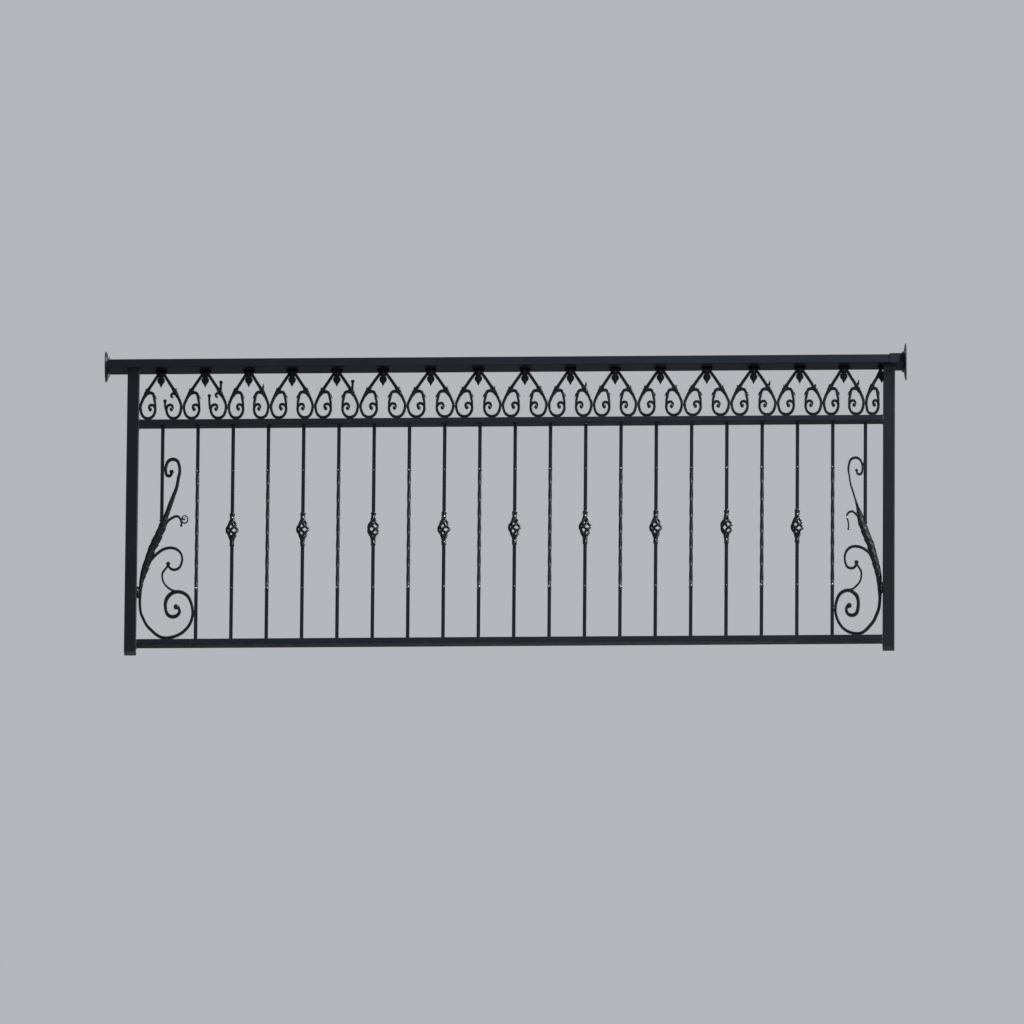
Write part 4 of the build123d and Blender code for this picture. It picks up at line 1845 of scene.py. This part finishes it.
    def _scrolls(self, bright: Shell) -> None:
        """Pads and tacks where the end scrolls touch the post, the rail and the bars."""
        shell = Shell()
        for scroll in end_scrolls():
            side, low, inner = scroll.side, BOTTOM_RAIL.high.z, scroll.inner
            short = Span.of(scroll.short_bar)
            stem = scroll.at(9, 176, 0)
            rail_seat = inner + side * scroll.foot_at * scroll.stretch_x
            places = (
                (inner + side * 4, low + 177, Vector((15, 12, 44))),
                (stem.x, stem.z, Vector((12, 12, 36))),
                (rail_seat, low + 3.2, Vector((34, 12, 9))),
                (inner + side * scroll.width, low + 100, Vector((5, 12, 18))),
                (short.centre.x, short.low.z + 9, Vector((15, 13, 14))),
                (short.centre.x + side * 6.4, low + 628, Vector((4, 11, 14))),
            )
            for seed, (x, z, size) in enumerate(places):
                self.tack(shell, Vector((x, 0, z)), size, seed + side)
            # Painted highlight: a bright spot where each stem meets its post.
            corner = Vector((inner + side * 3, -6.5, low + 182))
            self.tack(bright, corner, self.spot * 0.8, 2.0 + side)
        # Painted highlights: bright spots on the left ring and on the right hook.
        left, right = end_scrolls()
        for place, forward, size, seed in (
            (left.at(159, 450, 0), -1.0, Vector((11, 5, 9)), 5.0),
            (right.at(146, 431, 0), -5.0, Vector((4, 3, 9)), 6.0),
        ):
            self.tack(bright, Vector((place.x, forward, place.z)), size, seed)
        shell.piece("scroll_welds", Finish.WELD)


# Studio


@dataclass
class Studio:
    """Pale floor, soft light and the long lens below the railing that frames it."""

    picture_px: float = 1024.0
    mm_per_px: float = 3.3974
    lens_px: float = 26000.0
    sensor_mm: float = 36.0
    azimuth: float = 2.28
    elevation: float = -21.23
    lean: float = 0.46
    aim: tuple[float, float, float] = (1.2921777, 0.0182886, 0.5128753)
    floor_colour: str = "#b4b3b0"
    floor_roughness: float = 0.9
    floor_z: float = -0.0005
    floor_edges: tuple[float, float, float, float] = (-8.0, 10.6, -8.0, 8.0)
    sky_colour: str = "#b4b7bb"
    sky_light: float = 0.3
    lamp_target: tuple[float, float, float] = (1.29, 0.0, 0.6)
    lamps: tuple[tuple[str, tuple[float, float, float], float, float, float], ...] = (
        ("key", (4.2, -1.3, 4.2), 1.0, 62.0, 75.0),
        ("fill", (-3.4, -5.4, 1.9), 2.6, 24.0, 120.0),
        ("side", (5.6, -3.8, 2.9), 0.9, 40.0, 75.0),
        ("rim", (3.7, 1.9, 3.0), 0.8, 12.0, 55.0),
    )

    def build(self) -> None:
        """Sets up the floor, the lights, the world and the camera."""
        self._floor()
        self._world()
        self._lamps()
        self._camera()

    def _floor(self) -> None:
        """Makes the floor, which only its upper side shows, left open under each post."""
        material, tree, shader = new_material("pale_floor")
        shader.inputs["Base Color"].default_value = linear(self.floor_colour)
        shader.inputs["Roughness"].default_value = self.floor_roughness
        under = add_node(tree, "ShaderNodeNewGeometry").outputs["Backfacing"]
        clear = add_node(tree, "ShaderNodeBsdfTransparent")
        sides = add_node(
            tree,
            "ShaderNodeMixShader",
            links={0: under, 1: shader.outputs["BSDF"], 2: clear.outputs["BSDF"]},
        )
        tree.links.new(sides.outputs[0], tree.nodes["Material Output"].inputs["Surface"])
        mesh = bpy.data.meshes.new("floor")
        posts = [(post.low.x * MM, post.high.x * MM) for post in (LEFT_POST, RIGHT_POST)]
        west, east, street, back = self.floor_edges
        columns = [west, *posts[0], *posts[1], east]
        rows = [street, LEFT_POST.low.y * MM, LEFT_POST.high.y * MM, back]
        points = [(x, y, self.floor_z) for y in rows for x in columns]
        faces = []
        for row in range(3):
            for column in range(5):
                if row != 1 or column not in (1, 3):
                    near = row * 6 + column
                    faces.append((near, near + 1, near + 7, near + 6))
        mesh.from_pydata(points, [], faces)
        mesh.materials.append(material)
        floor = bpy.data.objects.new("floor", mesh)
        bpy.context.scene.collection.objects.link(floor)

    def _world(self) -> None:
        """Makes the plain pale sky, which lights surfaces less than it shows itself."""
        world = bpy.data.worlds.new("plain_studio")
        world.use_nodes = True
        tree = world.node_tree
        background = tree.nodes["Background"]
        background.inputs["Color"].default_value = linear(self.sky_colour)
        rays = add_node(tree, "ShaderNodeLightPath").outputs
        seen = rays["Is Camera Ray"]
        for kind in ("Is Glossy Ray", "Is Transmission Ray"):
            seen = add_node(
                tree, "ShaderNodeMath", links={0: seen, 1: rays[kind]}, operation="MAXIMUM"
            ).outputs[0]
        strength = add_node(
            tree, "ShaderNodeMapRange", {"To Min": self.sky_light, "To Max": 1.0}, {"Value": seen}
        )
        tree.links.new(strength.outputs["Result"], background.inputs["Strength"])
        bpy.context.scene.world = world

    def _lamps(self) -> None:
        """Hangs soft lamps: key, side and rim to the right, and a weak fill to the left."""
        target = Vector(self.lamp_target)
        for name, spot, size, power, spread in self.lamps:
            light = bpy.data.lights.new(name, "AREA")
            light.size = size
            light.energy = power
            light.spread = math.radians(spread)
            lamp = bpy.data.objects.new(name, light)
            lamp.location = Vector(spot)
            lamp.rotation_euler = (target - lamp.location).to_track_quat("-Z", "Y").to_euler()
            bpy.context.scene.collection.objects.link(lamp)

    def _camera(self) -> None:
        """Places the camera far below the railing in front, leaning as the picture does."""
        data = bpy.data.cameras.new("camera")
        data.sensor_width = self.sensor_mm
        data.lens = self.sensor_mm * self.lens_px / self.picture_px
        distance = self.lens_px * self.mm_per_px * MM
        azimuth, elevation = math.radians(self.azimuth), math.radians(self.elevation)
        back = Vector(
            (
                math.sin(azimuth) * math.cos(elevation),
                -math.cos(azimuth) * math.cos(elevation),
                math.sin(elevation),
            )
        )
        data.clip_start, data.clip_end = distance / 10, distance * 2
        camera = bpy.data.objects.new("camera", data)
        camera.location = Vector(self.aim) + back * distance
        level = (-back).to_track_quat("-Z", "Y").to_matrix().to_4x4()
        turned = level @ Matrix.Rotation(math.radians(self.lean), 4, "Z")
        camera.rotation_euler = turned.to_euler()
        bpy.context.scene.collection.objects.link(camera)
        bpy.context.scene.camera = camera
        bpy.context.scene.view_settings.view_transform = "Standard"


# Each basket was welded in at its own turn, in degrees.
BASKET_STARTS = (8.0, 2.0, 48.0, 15.0, 81.0, 73.0, 11.0, 52.0, 22.0)


def build_railing() -> None:
    """Builds every sub-assembly around the frame."""
    TubeFrame().build()
    for node in nodes_named("twisted_bar"):
        TwistedBar(node).build()
    for node, start in zip(nodes_named("basket_bar"), BASKET_STARTS):
        BasketBar(node, start).build()
    for node in ("left_short_bar", "right_short_bar"):
        ShortBar(node).build()
    HeartFrieze().build()
    LeafPendants().build()
    for scroll in end_scrolls():
        scroll.build()
    WallPlate("left_wall_flange", Finish.BOLT).build()
    WallPlate("right_wall_flange", Finish.WELD).build()
    Welds().build()


def main() -> None:
    """Builds the studio and the railing."""
    logging.basicConfig(level=logging.INFO, format="%(name)s: %(message)s")
    Studio().build()
    build_railing()


if __name__ == "__main__":
    main()
